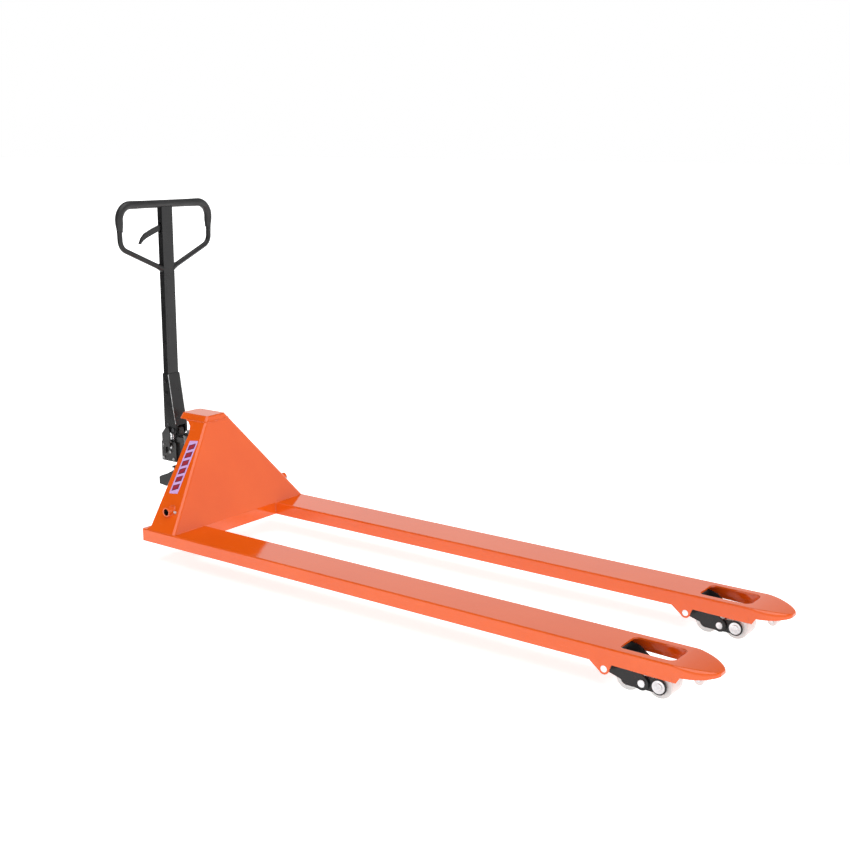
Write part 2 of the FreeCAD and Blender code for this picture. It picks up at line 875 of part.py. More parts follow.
def wheel_frame():
    """Two arm plates on a hub tube, from the fork's pivot shaft down to the bogie."""
    plates = []
    for side in (-1, 1):
        near = FORK_Y + side * d.arm_inner
        far = near + side * d.arm_thick
        low, high = (far, near) if side < 0 else (near, far)
        body = new_body("arm_plate")
        discs = [
            ((PIVOT_X, d.pivot_high), size(17)),
            ((BOGIE_X, d.roller_radius), d.arm_end),
            ((PIVOT_X + 44, d.pivot_high + 30), size(10)),
            ((ROD_X, ROD_Z), size(13)),
        ]
        plates.append(hull_plate(body, low, high, discs))
    reach = d.arm_inner + d.arm_thick
    hub = cylinder("arm_hub", "Y", (PIVOT_X, FORK_Y - reach, d.pivot_high), d.arm_hub, reach * 2)
    holes = [
        cylinder("hub_bore", "Y", (PIVOT_X, FORK_Y - 80, d.pivot_high), d.pin_radius + d.running_gap, 160),
        cylinder("bogie_hole", "Y", (BOGIE_X, FORK_Y - 80, d.roller_radius), d.pin_radius + d.running_gap, 160),
        cylinder("rod_hole", "Y", (ROD_X, FORK_Y - 80, ROD_Z), d.rod_pin_radius, 160),
    ]
    return cut("wheel_frame", fuse("frame_weld", hub, *plates), *holes)


both_sides("wheel_frame", wheel_frame())


def bogie_pin():
    """The pin through the wheel frame's lower end, which the bogie hangs on."""
    reach = d.arm_inner + d.arm_thick + 2.5
    return cylinder("bogie_pin", "Y", (BOGIE_X, FORK_Y - reach, d.roller_radius), d.pin_radius, reach * 2)


both_sides("bogie_pin", bogie_pin())


def rod_pin():
    """The pin that the push rod turns the wheel frame by."""
    reach = d.arm_inner + d.arm_thick + 2
    return cylinder("rod_pin", "Y", (ROD_X, FORK_Y - reach, ROD_Z), d.rod_pin_radius, reach * 2)


both_sides("rod_pin", rod_pin())


def push_rod():
    """A long round bar with an eye at the wheel frame and a slotted plate at the rocker's lever."""
    front_eye = cylinder("rod_eye", "Y", (ROD_X, ROD_Y - 9, ROD_Z), d.rod_eye, 18)
    bar_from = along(128)
    bar = cylinder("rod_bar", "X", (bar_from, ROD_Y, ROD_Z), d.rod_radius, ROD_X - bar_from - 4)
    end = new_body("rod_plate")
    plate_corners = [
        (SHAFT_X - 16, LEVER_PIN_Z - 14),
        (SHAFT_X + 10, ROD_Z - 10),
        (along(150), ROD_Z - 8),
        (along(150), ROD_Z + 8),
        (SHAFT_X + 30, ROD_Z + 12),
        (SHAFT_X + 22, LEVER_PIN_Z + 26),
        (SHAFT_X + 16, LEVER_PIN_Z + 30),
        (SHAFT_X - 16, LEVER_PIN_Z + 30),
    ]
    pad(end, "XZ", ROD_Y - 5, ROD_Y + 5, corners=plate_corners)
    slot = rectangle(SHAFT_X - 8.5, SHAFT_X + 8.5, LEVER_PIN_Z - 8, LEVER_PIN_Z + 22)
    pocket(end, "XZ", ROD_Y - 6, ROD_Y + 6, corners=slot)
    bore = cylinder("eye_bore", "Y", (ROD_X, ROD_Y - 10, ROD_Z), d.rod_pin_radius + d.running_gap, 20)
    return cut("push_rod", fuse("rod_weld", front_eye, bar, end), bore)


both_sides("push_rod", push_rod())


def bogie_plates():
    """The two plates that hold a pair of rollers and rock on the wheel frame's pin."""
    plates = []
    for side in (-1, 1):
        near = FORK_Y + side * d.bogie_inner
        far = near + side * d.bogie_thick
        low, high = (far, near) if side < 0 else (near, far)
        body = new_body("bogie_plate")
        discs = [
            ((BOGIE_X - d.axle_half_gap, d.roller_radius), d.bogie_end),
            ((BOGIE_X + d.axle_half_gap, d.roller_radius), d.bogie_end),
        ]
        hull_plate(body, low, high, discs)
        pocket(body, "XZ", low - 1, high + 1, centre=(BOGIE_X, d.roller_radius), radius=d.pin_radius + d.running_gap)
        for end in (-1, 1):
            centre = (BOGIE_X + end * d.axle_half_gap, d.roller_radius)
            pocket(body, "XZ", low - 1, high + 1, centre=centre, radius=d.pin_radius)
        plates.append(body)
    return group("bogie_plates", *plates)


both_sides("bogie_plates", bogie_plates())


def roller_axles():
    """Two axles: the front one has a broad flange with a raised boss outside each plate."""
    reach = d.bogie_inner + d.bogie_thick
    end_y = reach + 0.5
    axles = []
    for end in (-1, 1):
        start = (BOGIE_X + end * d.axle_half_gap, FORK_Y - end_y, d.roller_radius)
        axles.append(cylinder("axle", "Y", start, d.pin_radius, end_y * 2))
    x = BOGIE_X + d.axle_half_gap
    for side in (-1, 1):
        near = FORK_Y + side * reach
        for radius, thick in ((19, 4), (11, 6)):
            start = near if side > 0 else near - thick
            axles.append(cylinder("flange", "Y", (x, start, d.roller_radius), radius, thick))
    return group("roller_axles", axles[0], fuse("flanged_axle", *axles[1:]))


both_sides("roller_axles", roller_axles())


def load_roller(end):
    """A nylon roller, counterbored at both ends for its bearings."""
    x = BOGIE_X + end * d.axle_half_gap
    low = FORK_Y - d.roller_wide / 2
    body = rounded_bar("roller_body", "Y", (x, low, d.roller_radius), d.roller_radius, d.roller_wide, 3)
    cuts = [cylinder("roller_bore", "Y", (x, low - 1, d.roller_radius), d.pin_radius + 3, d.roller_wide + 2)]
    seat = d.bearing_radius + d.running_gap
    cuts.append(cylinder("seat_near", "Y", (x, low - 1, d.roller_radius), seat, d.bearing_deep + 1.3))
    far = FORK_Y + d.roller_wide / 2 - d.bearing_deep - 0.3
    cuts.append(cylinder("seat_far", "Y", (x, far, d.roller_radius), seat, d.bearing_deep + 1.3))
    return cut("load_roller", body, *cuts)


both_sides("load_roller_rear", load_roller(-1))
both_sides("load_roller_front", load_roller(1))


def roller_bearings():
    """Four bearings on the two axles of one bogie."""
    rings = []
    for end in (-1, 1):
        x = BOGIE_X + end * d.axle_half_gap
        for low in (FORK_Y - d.roller_wide / 2, FORK_Y + d.roller_wide / 2 - d.bearing_deep):
            start = (x, low, d.roller_radius)
            rings.append(tube("bearing", "Y", start, d.bearing_radius, d.pin_radius, d.bearing_deep))
    return group("roller_bearings", *rings)


both_sides("roller_bearings", roller_bearings())


def entry_roller():
    """The two small rollers under the fork's nose that help it over the edge of a pallet board."""
    bore = d.nose_pin_radius + d.running_gap
    near = d.nose_bracket_half + d.side_gap
    wide = d.nose_roller_half - near
    halves = []
    for low in (FORK_Y - d.nose_roller_half, FORK_Y + near):
        start = (along(d.nose_roller_from), low, d.nose_roller_high)
        bar = rounded_bar("nose_roller", "Y", start, d.nose_roller_radius, wide, 1.5)
        halves.append(cut("nose_roller_half", bar, cylinder("nose_bore", "Y", start, bore, wide)))
    return group("entry_rollers", *halves)


both_sides("entry_roller", entry_roller())

# ---- collar, pump and steering ----


def thrust_collar():
    """The ring round the pump that holds the rocker's arms down and lets the pump turn inside it."""
    low = d.collar_high - d.collar_tall / 2
    ring = cylinder("collar_ring", "Z", (STEER_X, 0, low), d.collar_radius, d.collar_tall)
    pins = cylinder("collar_pins", "Y", (STEER_X, -64, d.collar_high), d.collar_pin_radius, 128)
    bore = cylinder("collar_bore", "Z", (STEER_X, 0, low - 1), d.cylinder_radius + d.running_gap, d.collar_tall + 2)
    return cut("thrust_collar", fuse("collar_weld", ring, pins), bore)


keep(thrust_collar(), "thrust_collar")
BEARING_LOW = d.collar_high - d.collar_tall / 2 - 5
keep(tube("thrust_bearing", "Z", (STEER_X, 0, BEARING_LOW), 46, d.cylinder_radius + 0.3, 4.9), "thrust_bearing")


def pump_body():
    """The pump's casting: axle block, cylinder, tank, and the head block behind with its lug."""
    x = STEER_X
    axle = d.steer_wheel_radius
    bearing_low = d.collar_high - d.collar_tall / 2 - 5
    block_back = along(-d.rear_reach)
    block_front = along(d.block_front)
    solid = [
        box("axle_block", (x - 30, x + 30), (-29, 29), (axle - 28, bearing_low - 8)),
        cylinder("cylinder", "Z", (x, 0, bearing_low - 10), d.cylinder_radius, d.tank_low - bearing_low + 10),
        cylinder("thrust_flange", "Z", (x, 0, bearing_low - 12), 45, 12),
        cylinder("tank", "Z", (x, 0, d.tank_low), d.tank_radius, d.tank_high - d.tank_low),
        box("web", (block_front - 5, x - 30), (-20, 20), (d.block_low, d.tank_high - 20)),
        box("head_block", (block_back, block_front), (-d.block_half, d.block_half), (d.block_low, d.block_high)),
        box("pedal_lug", (along(-168), along(-142)), (-20, 20), (250, d.block_low + 2)),
        box("tilt_lug", (TILT_X - 12, TILT_X + 14), (-11, 11), (d.block_high - 5, d.tilt_high)),
        cylinder("tilt_eye", "Y", (TILT_X, -11, d.tilt_high), 12, 22),
        box("tilt_web", (TILT_X + 6, x - 40), (-11, 11), (d.block_high - 5, d.tank_high - 20)),
    ]
    hollow = [
        cylinder("ram_bore", "Z", (x, 0, 236), d.ram_radius + d.running_gap, 200),
        cylinder("axle_bore", "Y", (x, -40, axle), d.steer_axle_radius, 80),
        cylinder("tilt_bore", "Y", (TILT_X, -20, d.tilt_high), d.tilt_pin_radius + d.running_gap, 40),
        cylinder("plunger_recess", "Z", (along(-203), 0, 330), 14, 40),
        cylinder("plunger_bore", "Z", (along(-203), 0, 290), 8 + d.running_gap, 60),
        cylinder("pedal_bore", "Y", (along(-155), -30, 262), 6, 60),
    ]
    return cut("pump_body", fuse("pump_cast", *solid), *hollow)


keep(pump_body(), "pump_body")


def gland_nut():
    """The nut that holds the ram's seal, round its top edge flattened for a spanner."""
    ring = cylinder("nut_ring", "Z", (STEER_X, 0, d.tank_high), 38, 13)
    bore = cylinder("nut_bore", "Z", (STEER_X, 0, d.tank_high - 1), d.ram_radius + 0.3, 20)
    flats = [
        box("flat_front", (STEER_X + 34, STEER_X + 50), (-50, 50), (d.tank_high + 4, d.tank_high + 20)),
        box("flat_back", (STEER_X - 50, STEER_X - 34), (-50, 50), (d.tank_high + 4, d.tank_high + 20)),
    ]
    return cut("gland_nut", ring, bore, *flats)


keep(gland_nut(), "gland_nut")


def pump_bolts():
    """Socket-headed screws on the head block's two sides and its back."""
    heads = []
    for side in (-1, 1):
        for from_heel, high in ((-226, 292), (-226, 340), (-172, 292), (-190, 318)):
            start = (along(from_heel), d.block_half if side > 0 else -d.block_half - 5, high)
            heads.append(cylinder("bolt_head", "Y", start, 5, 5))
    return group("pump_bolts", *heads)


keep(pump_bolts(), "pump_bolts")
axle_half = d.steer_wheel_inner + d.steer_wheel_wide + 6
axle_bar = cylinder("axle_bar", "Y", (STEER_X, -axle_half, d.steer_wheel_radius), d.steer_axle_radius, axle_half * 2)
keep(axle_bar, "steer_axle")


def axle_clip(side):
    near = side * (d.steer_wheel_inner + d.steer_wheel_wide + 1)
    start = near if side > 0 else near - 3
    return tube("axle_clip", "Y", (STEER_X, start, d.steer_wheel_radius), 19, d.steer_axle_radius, 3)


keep(group("axle_clips", axle_clip(-1), axle_clip(1)), "axle_clips")


def steer_hub():
    """The cast centre of a steering wheel, turned down between rim and boss, with bearing seats."""
    high = -d.steer_wheel_inner
    low = high - d.steer_wheel_wide
    rim = d.steer_wheel_radius - d.tyre_thick
    z = d.steer_wheel_radius
    body = cylinder("hub_body", "Y", (STEER_X, low, z), rim, d.steer_wheel_wide)
    cuts = [cylinder("hub_bore", "Y", (STEER_X, low - 1, z), d.steer_axle_radius + 3, d.steer_wheel_wide + 2)]
    for start in (low - 1, high - 14):
        cuts.append(cylinder("hub_seat", "Y", (STEER_X, start, z), 23.5 + d.running_gap, 15))
    for start in (low - 1, high - 10):
        ring = tube("hub_dish", "Y", (STEER_X, start, z), rim - 10, 32, 11)
        cuts.append(ring)
    return cut("steer_hub", body, *cuts)


both_sides("steer_hub", steer_hub())


def steer_tyre():
    low = -d.steer_wheel_inner - d.steer_wheel_wide
    start = (STEER_X, low, d.steer_wheel_radius)
    tread = rounded_bar("steer_tread", "Y", start, d.steer_wheel_radius, d.steer_wheel_wide, 7)
    rim = d.steer_wheel_radius - d.tyre_thick
    return cut("steer_tyre", tread, cylinder("tyre_bore", "Y", start, rim, d.steer_wheel_wide))


both_sides("steer_tyre", steer_tyre())


def steer_bearings():
    rings = []
    z = d.steer_wheel_radius
    near = d.steer_wheel_inner
    for low in (-near - 13.8, -near - d.steer_wheel_wide, near, near + d.steer_wheel_wide - 13.8):
        rings.append(tube("steer_bearing", "Y", (STEER_X, low, z), 23.5, d.steer_axle_radius, 13.8))
    return group("steer_bearings", *rings)


keep(steer_bearings(), "steer_bearings")


def foot_pedal():
    """The pedal that opens the lowering valve, on a pin under the head block."""
    arm = new_body("pedal_arm")
    arm_corners = [
        (along(-155), 252),
        (along(-200), 186),
        (along(-237), 190),
        (along(-237), 218),
        (along(-197), 234),
        (along(-163), 252),
        (along(-155), 272),
    ]
    pad(arm, "XZ", size(-50), size(-23), corners=arm_corners)
    pad(arm, "XZ", size(-50), size(-23), centre=(along(-155), 262), radius=11)
    pocket(arm, "XZ", size(-51), size(-22), centre=(along(-155), 262), radius=6 + d.running_gap)
    return arm


keep(foot_pedal(), "foot_pedal")
keep(cylinder("pedal_pin", "Y", (along(-155), -54, 262), 6, 74), "pedal_pin")


def pump_plunger():
    """The small piston that the handle's roller pushes, with a broad head for its spring."""
    stem = cylinder("plunger_stem", "Z", (along(-203), 0, 334), 8, 72)
    head = cylinder("plunger_head", "Z", (along(-203), 0, 402), 12.5, 9)
    return fuse("pump_plunger", stem, head)


keep(pump_plunger(), "pump_plunger")


def plunger_spring():
    """The return spring round the plunger, seated in the head block."""
    low = 331.2
    high = 400.8
    turns = 7
    coil = 10.4
    wire = 1.1
    helix = Part.makeHelix((high - low) / turns, high - low, coil)
    circle = Part.Circle(FreeCAD.Vector(coil, 0, 0), FreeCAD.Vector(0, 1, 0), wire)
    profile = Part.Wire([circle.toShape()])
    item = doc.addObject("Part::Feature", "plunger_spring")
    item.Shape = Part.Wire(helix.Edges).makePipeShell([profile], True, True)
    item.Placement = FreeCAD.Placement(FreeCAD.Vector(along(-203).value, 0, low), FreeCAD.Rotation())
    return item


keep(plunger_spring(), "plunger_spring")

# ---- handle ----


def handle_base():
    """The forked casting that holds the stem and tilts on the pump's lug."""
    body = new_body("base")
    back = STEM_X - 15
    profile = [
        (back, d.base_high),
        (STEM_X + 15, d.base_high),
        (along(-167), 475),
        (along(-157), 424),
        (along(-157), 398),
        (along(-164), 389),
        (along(-182), 388),
        (back, 412),
    ]
    pad(body, "XZ", -d.base_half, d.base_half, corners=profile)
    socket_x = (STEM_X - d.stem_deep / 2, STEM_X + d.stem_deep / 2)
    socket = rectangle(*socket_x, -d.stem_wide / 2, d.stem_wide / 2)
    pocket(body, "XY", d.stem_low, d.base_high + 1, corners=socket)
    slot_front = [
        (back - 1, 370),
        (along(-150), 370),
        (along(-150), 424),
        (along(-163), 424),
        (along(-172), 470),
        (along(-180), 500),
        (STEM_X - 9, 500),
        (STEM_X - 9, 455),
        (back - 1, 455),
    ]
    pocket(body, "XZ", size(-20), size(20), corners=slot_front)
    rod_bore = rectangle(STEM_X - 5, STEM_X + 5, 11, 20)
    pocket(body, "XY", size(490), d.stem_low + 1, corners=rod_bore)
    pocket(body, "XZ", -d.base_half - 1, d.base_half + 1, centre=(TILT_X, d.tilt_high), radius=d.tilt_pin_radius)
    pocket(body, "XZ", -d.base_half - 1, d.base_half + 1, centre=(along(-199), 425.5), radius=5)
    return body


keep(handle_base(), "handle_base")


def handle_pins():
    """The tilt pin, the cam roller's pin and the control lever's pin."""
    half = d.base_half + 4
    tilt = cylinder("tilt_pin", "Y", (TILT_X, -half, d.tilt_high), d.tilt_pin_radius, half * 2)
    cam = cylinder("cam_pin", "Y", (along(-199), -d.base_half - 1, 425.5), 5, d.base_half * 2 + 2)
    start = (STEM_X - d.stem_deep / 2 + 1, -10, d.lever_pivot_high)
    lever = cylinder("lever_axle", "X", start, 4, d.stem_deep - 2)
    return group("handle_pins", tilt, cam, lever)


keep(handle_pins(), "handle_pins")
cam_start = (along(-199), -11.5, 425.5)
keep(tube("cam_roller", "Y", cam_start, 13, 5 + d.running_gap, 23), "cam_roller")


def handle_stem():
    """The rectangular tube, slotted on its right side for the control lever."""
    half_x = d.stem_deep / 2
    half_y = d.stem_wide / 2
    top = d.loop_high - 4
    outer = box("stem_outer", (STEM_X - half_x, STEM_X + half_x), (-half_y, half_y), (d.stem_low, top))
    inner_x = (STEM_X - half_x + d.stem_skin, STEM_X + half_x - d.stem_skin)
    inner = box("stem_inner", inner_x, (-half_y + d.stem_skin, half_y - d.stem_skin), (d.stem_low - 1, top + 1))
    saddle = cylinder("saddle", "Y", (STEM_X, -60, d.loop_high), d.grip_radius + 0.05, 120)
    high = d.lever_pivot_high
    slot = box("lever_slot", (STEM_X - 5, STEM_X + 5), (-half_y - 1, -half_y + 5), (high - 20, high + 18))
    pin_hole = cylinder("lever_pin_hole", "X", (STEM_X - half_x + 1, -10, high), 4, d.stem_deep - 2)
    return cut("handle_stem", outer, inner, saddle, slot, pin_hole)


keep(handle_stem(), "handle_stem")


def rounded_path(points, radii):
    """Straight runs in the YZ plane joined by arcs, as one wire. Each inner point has a bend radius."""
    path = [FreeCAD.Vector(0, y, z) for y, z in points]
    edges = []
    start = path[0]
    for before, corner, after, radius in zip(path, path[1:], path[2:], radii):
        back = (before - corner).normalize()
        ahead = (after - corner).normalize()
        half_turn = (math.pi - back.getAngle(ahead)) / 2
        reach = radius * math.tan(half_turn)
        enter = corner + back * reach
        leave = corner + ahead * reach
        inward = (back + ahead).normalize()
        centre = corner + inward * (radius / math.cos(half_turn))
        edges.append(Part.LineSegment(start, enter).toShape())
        edges.append(Part.Arc(enter, centre - inward * radius, leave).toShape())
        start = leave
    edges.append(Part.LineSegment(start, path[-1]).toShape())
    return Part.Wire(edges)


def bent_bar(name, points, radii, outer, inner=None):
    """A round bar bent along a path in the handle's plane, solid or with a bore."""
    wire = rounded_path(points, radii)
    start = wire.Edges[0].valueAt(wire.Edges[0].FirstParameter)
    heading = wire.Edges[0].tangentAt(wire.Edges[0].FirstParameter)
    made = []
    for radius in (outer, inner):
        if radius:
            ring = Part.Wire([Part.Circle(start, heading, radius).toShape()])
            made.append(wire.makePipeShell([ring], True, False))
    item = doc.addObject("Part::Feature", name)
    item.Shape = made[0] if len(made) == 1 else made[0].cut(made[1])
    item.Placement = FreeCAD.Placement(FreeCAD.Vector(STEM_X.value, 0, 0), FreeCAD.Rotation())
    return item


def handle_loop():
    """The bent tube round the hand hole, welded to the stem's two sides and passing over its top."""
    high = d.loop_high.value
    side = d.loop_half.value
    waist = d.loop_waist.value
    foot = d.loop_foot.value
    joint = d.stem_wide.value / 2
    drop = (waist - foot) / (side - 6 - joint) * 12
    ends = ((-joint + 12, foot - drop), (joint - 12, foot - drop))
    points = [ends[0], (-side + 6, waist), (-side, high), (side, high), (side - 6, waist), ends[1]]
    bar = bent_bar("loop_bar", points, (42, 52, 52, 42), d.loop_tube.value)
    half_x = d.stem_deep / 2
    half_y = d.stem_wide / 2
    stem_space = box("stem_space", (STEM_X - half_x, STEM_X + half_x), (-half_y, half_y), (950, 1100))
    return cut("handle_loop", bar, stem_space)


keep(handle_loop(), "handle_loop")


def handle_grip():
    """The moulded sleeve over the loop's top and shoulders."""
    high = d.loop_high.value
    side = d.loop_half.value
    low = d.grip_low.value
    waist = d.loop_waist.value
    lean = 6 * (high - low) / (high - waist)
    points = [(-side + lean, low), (-side, high), (side, high), (side - lean, low)]
    return bent_bar("handle_grip", points, (52, 52), d.grip_radius.value, d.loop_tube.value)


keep(handle_grip(), "handle_grip")


def control_lever():
    """The finger lever in the loop, pivoted inside the stem."""
    body = new_body("finger_lever")
    high = d.lever_pivot_high
    blade = [
        (size(19), high + 1),
        (size(-2), high + 8),
        (size(-24), high + 10),
        (size(-66), high - 4),
        (size(-104), high - 20),
        (size(-121), high - 36),
        (size(-131), high - 56),
        (size(-125), high - 58),
        (size(-112), high - 45),
        (size(-94), high - 36),
        (size(-60), high - 23),
        (size(-24), high - 11),
        (size(-2), high - 9),
        (size(19), high - 5),
    ]
    pad(body, "YZ", STEM_X - 4, STEM_X + 4, corners=blade)
    pocket(body, "YZ", STEM_X - 5, STEM_X + 5, centre=(size(-10), high), radius=4 + d.running_gap)
    return body


keep(control_lever(), "control_lever")
rod_top = d.lever_pivot_high - 8
keep(cylinder("release_rod", "Z", (STEM_X, 15.5, 442), 2.5, rod_top - 442), "release_rod")


def stem_screws():
    """Screw heads that fix the stem in its base."""
    heads = []
    for high in (545, 590):
        for side in (-1, 1):
            start = (STEM_X, d.base_half if side > 0 else -d.base_half - 4, high)
            heads.append(cylinder("screw_head", "Y", start, 6, 4))
    return group("stem_screws", *heads)


keep(stem_screws(), "stem_screws")

# ---- check and write ----

doc.recompute()
for item in doc.Objects:
    if "Invalid" in item.State or "Error" in item.State:
        raise RuntimeError(f"{item.Label} failed: {item.State}")
os.makedirs("parts", exist_ok=True)
for label, item in nodes.items():
    shape = item.Shape
    if shape.isNull() or not shape.isValid() or not shape.Solids:
        raise RuntimeError(f"{label} is not a valid solid")
    shape.exportStep(f"parts/{label}.step")
print(f"{len(nodes)} sub-parts written")
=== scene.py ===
import json
import math

import bmesh
import bpy
import numpy as np
from mathutils import Matrix, Vector


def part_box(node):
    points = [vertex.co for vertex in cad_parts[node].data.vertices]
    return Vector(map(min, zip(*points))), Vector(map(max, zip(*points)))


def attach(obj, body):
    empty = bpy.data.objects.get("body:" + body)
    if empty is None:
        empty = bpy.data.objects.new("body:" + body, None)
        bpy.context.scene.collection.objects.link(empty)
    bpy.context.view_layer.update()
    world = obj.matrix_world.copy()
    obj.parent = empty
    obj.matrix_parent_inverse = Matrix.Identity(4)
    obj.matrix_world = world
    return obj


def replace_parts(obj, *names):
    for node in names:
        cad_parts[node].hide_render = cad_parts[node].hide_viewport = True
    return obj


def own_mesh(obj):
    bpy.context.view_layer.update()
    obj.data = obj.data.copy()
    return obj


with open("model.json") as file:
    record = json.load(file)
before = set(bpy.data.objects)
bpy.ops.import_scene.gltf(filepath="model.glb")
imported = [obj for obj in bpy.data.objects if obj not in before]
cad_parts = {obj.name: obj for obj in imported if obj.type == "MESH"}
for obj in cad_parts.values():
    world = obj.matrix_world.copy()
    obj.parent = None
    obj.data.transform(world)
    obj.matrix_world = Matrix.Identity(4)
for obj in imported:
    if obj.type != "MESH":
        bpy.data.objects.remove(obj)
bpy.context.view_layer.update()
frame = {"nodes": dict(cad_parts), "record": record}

MM = 0.001
CREASE = math.radians(38)
WORN_AT = 0.75

# The looks of a hand pallet jack. +X runs along the forks to their tips, +Y to the left and +Z up, in metres.


# ---- places read from the frame ----


def low(node):
    return Vector(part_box(node)[0])


def high(node):
    return Vector(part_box(node)[1])


def middle(node):
    return (low(node) + high(node)) / 2


# ---- node materials ----


class Recipe:
    """A node material under construction, with short calls for the nodes that the finishes share."""

    def __init__(self, name):
        self.material = bpy.data.materials.new(name)
        self.material.use_nodes = True
        self.tree = self.material.node_tree
        self.tree.nodes.clear()
        self.shader = self.tree.nodes.new("ShaderNodeBsdfPrincipled")
        output = self.tree.nodes.new("ShaderNodeOutputMaterial")
        self.link(self.shader.outputs[0], output.inputs[0])
        self.place = self.tree.nodes.new("ShaderNodeTexCoord").outputs["Object"]

    def link(self, source, target):
        self.tree.links.new(source, target)

    def fixed(self, **values):
        """Constants on the shader's own sockets: Coat_Weight=0.5 sets Coat Weight."""
        for name, value in values.items():
            self.shader.inputs[name.replace("_", " ")].default_value = value

    def stretched(self, stretch):
        """The surface's own coordinates, scaled differently along each axis."""
        mapping = self.tree.nodes.new("ShaderNodeMapping")
        mapping.inputs["Scale"].default_value = stretch
        self.link(self.place, mapping.inputs["Vector"])
        return mapping.outputs[0]

    def noise(self, scale, detail=3.0, stretch=(1, 1, 1)):
        node = self.tree.nodes.new("ShaderNodeTexNoise")
        node.inputs["Scale"].default_value = scale
        node.inputs["Detail"].default_value = detail
        self.link(self.stretched(stretch), node.inputs["Vector"])
        return node.outputs[0]

    def spread(self, source, from_low, from_high, to_low=0.0, to_high=1.0):
        """A value remapped and held between two ends."""
        node = self.tree.nodes.new("ShaderNodeMapRange")
        self.link(source, node.inputs["Value"])
        ends = {"From Min": from_low, "From Max": from_high, "To Min": to_low, "To Max": to_high}
        for name, value in ends.items():
            node.inputs[name].default_value = value
        return node.outputs[0]

    def maths(self, kind, first, second):
        node = self.tree.nodes.new("ShaderNodeMath")
        node.operation = kind
        for socket, value in zip(node.inputs, (first, second)):
            if isinstance(value, (int, float)):
                socket.default_value = value
            else:
                self.link(value, socket)
        return node.outputs[0]

    def blend(self, factor, first, second):
        """One colour turning into another. Either may be a tuple or a node's output."""
        node = self.tree.nodes.new("ShaderNodeMix")
        node.data_type = "RGBA"
        self.link(factor, node.inputs["Factor"])
        for socket, value in ((node.inputs[6], first), (node.inputs[7], second)):
            if isinstance(value, tuple):
                socket.default_value = (*value, 1)
            else:
                self.link(value, socket)
        return node.outputs[2]

    def edges(self, radius):
        """1 at sharp edges and 0 on flat ground, from how far the rounded normal turns away."""
        rounded = self.tree.nodes.new("ShaderNodeBevel")
        rounded.samples = 4
        rounded.inputs["Radius"].default_value = radius
        flat = self.tree.nodes.new("ShaderNodeNewGeometry")
        dot = self.tree.nodes.new("ShaderNodeVectorMath")
        dot.operation = "DOT_PRODUCT"
        self.link(rounded.outputs[0], dot.inputs[0])
        self.link(flat.outputs["Normal"], dot.inputs[1])
        return self.spread(dot.outputs["Value"], 1.0, WORN_AT)

    def relief(self, height, depth, strength=1.0, soften=0.0):
        """Bump on the shader's normal, over edges softened by a small radius."""
        node = self.tree.nodes.new("ShaderNodeBump")
        node.inputs["Strength"].default_value = strength
        node.inputs["Distance"].default_value = depth
        self.link(height, node.inputs["Height"])
        if soften:
            rounded = self.tree.nodes.new("ShaderNodeBevel")
            rounded.samples = 4
            rounded.inputs["Radius"].default_value = soften
            self.link(rounded.outputs[0], node.inputs["Normal"])
        self.link(node.outputs[0], self.shader.inputs["Normal"])

    def colour(self, source):
        self.link(source, self.shader.inputs["Base Color"])

    def roughness(self, source):
        self.link(source, self.shader.inputs["Roughness"])


# ---- camera, floor and light ----

CAMERA_PLACE = Vector((2.3834, -3.2770, 1.4728))
CAMERA_AZIMUTH = math.radians(35.74)
CAMERA_ELEVATION = math.radians(12.54)
CAMERA_ROLL = math.radians(0.31)
CAMERA_LENS = 53.715


def make_camera():
    """Looks along the azimuth and down by the elevation, with a slight roll."""
    level = Vector((math.cos(CAMERA_AZIMUTH), math.sin(CAMERA_AZIMUTH), 0))
    ahead = Vector((-math.sin(CAMERA_AZIMUTH), math.cos(CAMERA_AZIMUTH), 0)) * math.cos(CAMERA_ELEVATION)
    ahead.z = -math.sin(CAMERA_ELEVATION)
    upward = level.cross(ahead)
    right = level * math.cos(CAMERA_ROLL) + upward * math.sin(CAMERA_ROLL)
    top = upward * math.cos(CAMERA_ROLL) - level * math.sin(CAMERA_ROLL)
    data = bpy.data.cameras.new("camera")
    data.lens = CAMERA_LENS
    data.clip_end = 300
    camera = bpy.data.objects.new("camera", data)
    turn = Matrix((right, top, -ahead)).transposed().to_4x4()
    camera.matrix_world = Matrix.Translation(CAMERA_PLACE) @ turn
    bpy.context.collection.objects.link(camera)
    bpy.context.scene.camera = camera


def make_world():
    """White near the horizon, greyer overhead, as in a studio with a white sweep."""
    world = bpy.data.worlds.new("studio")
    world.use_nodes = True
    bpy.context.scene.world = world
    tree = world.node_tree
    background = tree.nodes["Background"]
    place = tree.nodes.new("ShaderNodeTexCoord")
    split = tree.nodes.new("ShaderNodeSeparateXYZ")
    ramp = tree.nodes.new("ShaderNodeValToRGB")
    tree.links.new(place.outputs["Generated"], split.inputs[0])
    tree.links.new(split.outputs["Z"], ramp.inputs[0])
    stops = ramp.color_ramp
    stops.interpolation = "EASE"
    stops.elements[0].position = 0.30
    stops.elements[0].color = (1.0, 1.0, 1.0, 1)
    stops.elements[1].position = 0.62
    stops.elements[1].color = (0.15, 0.15, 0.155, 1)
    tree.links.new(ramp.outputs[0], background.inputs["Color"])
    background.inputs["Strength"].default_value = 1.0


def make_sun(heading, strength, width):
    """One broad, even lamp high over the floor, so that the shadows stay soft and short."""
    data = bpy.data.lights.new("ceiling", "SUN")
    data.energy = strength
    data.angle = math.radians(width)
    sun = bpy.data.objects.new("ceiling", data)
    sun.rotation_euler = Vector(heading).to_track_quat("-Z", "Y").to_euler()
    bpy.context.collection.objects.link(sun)


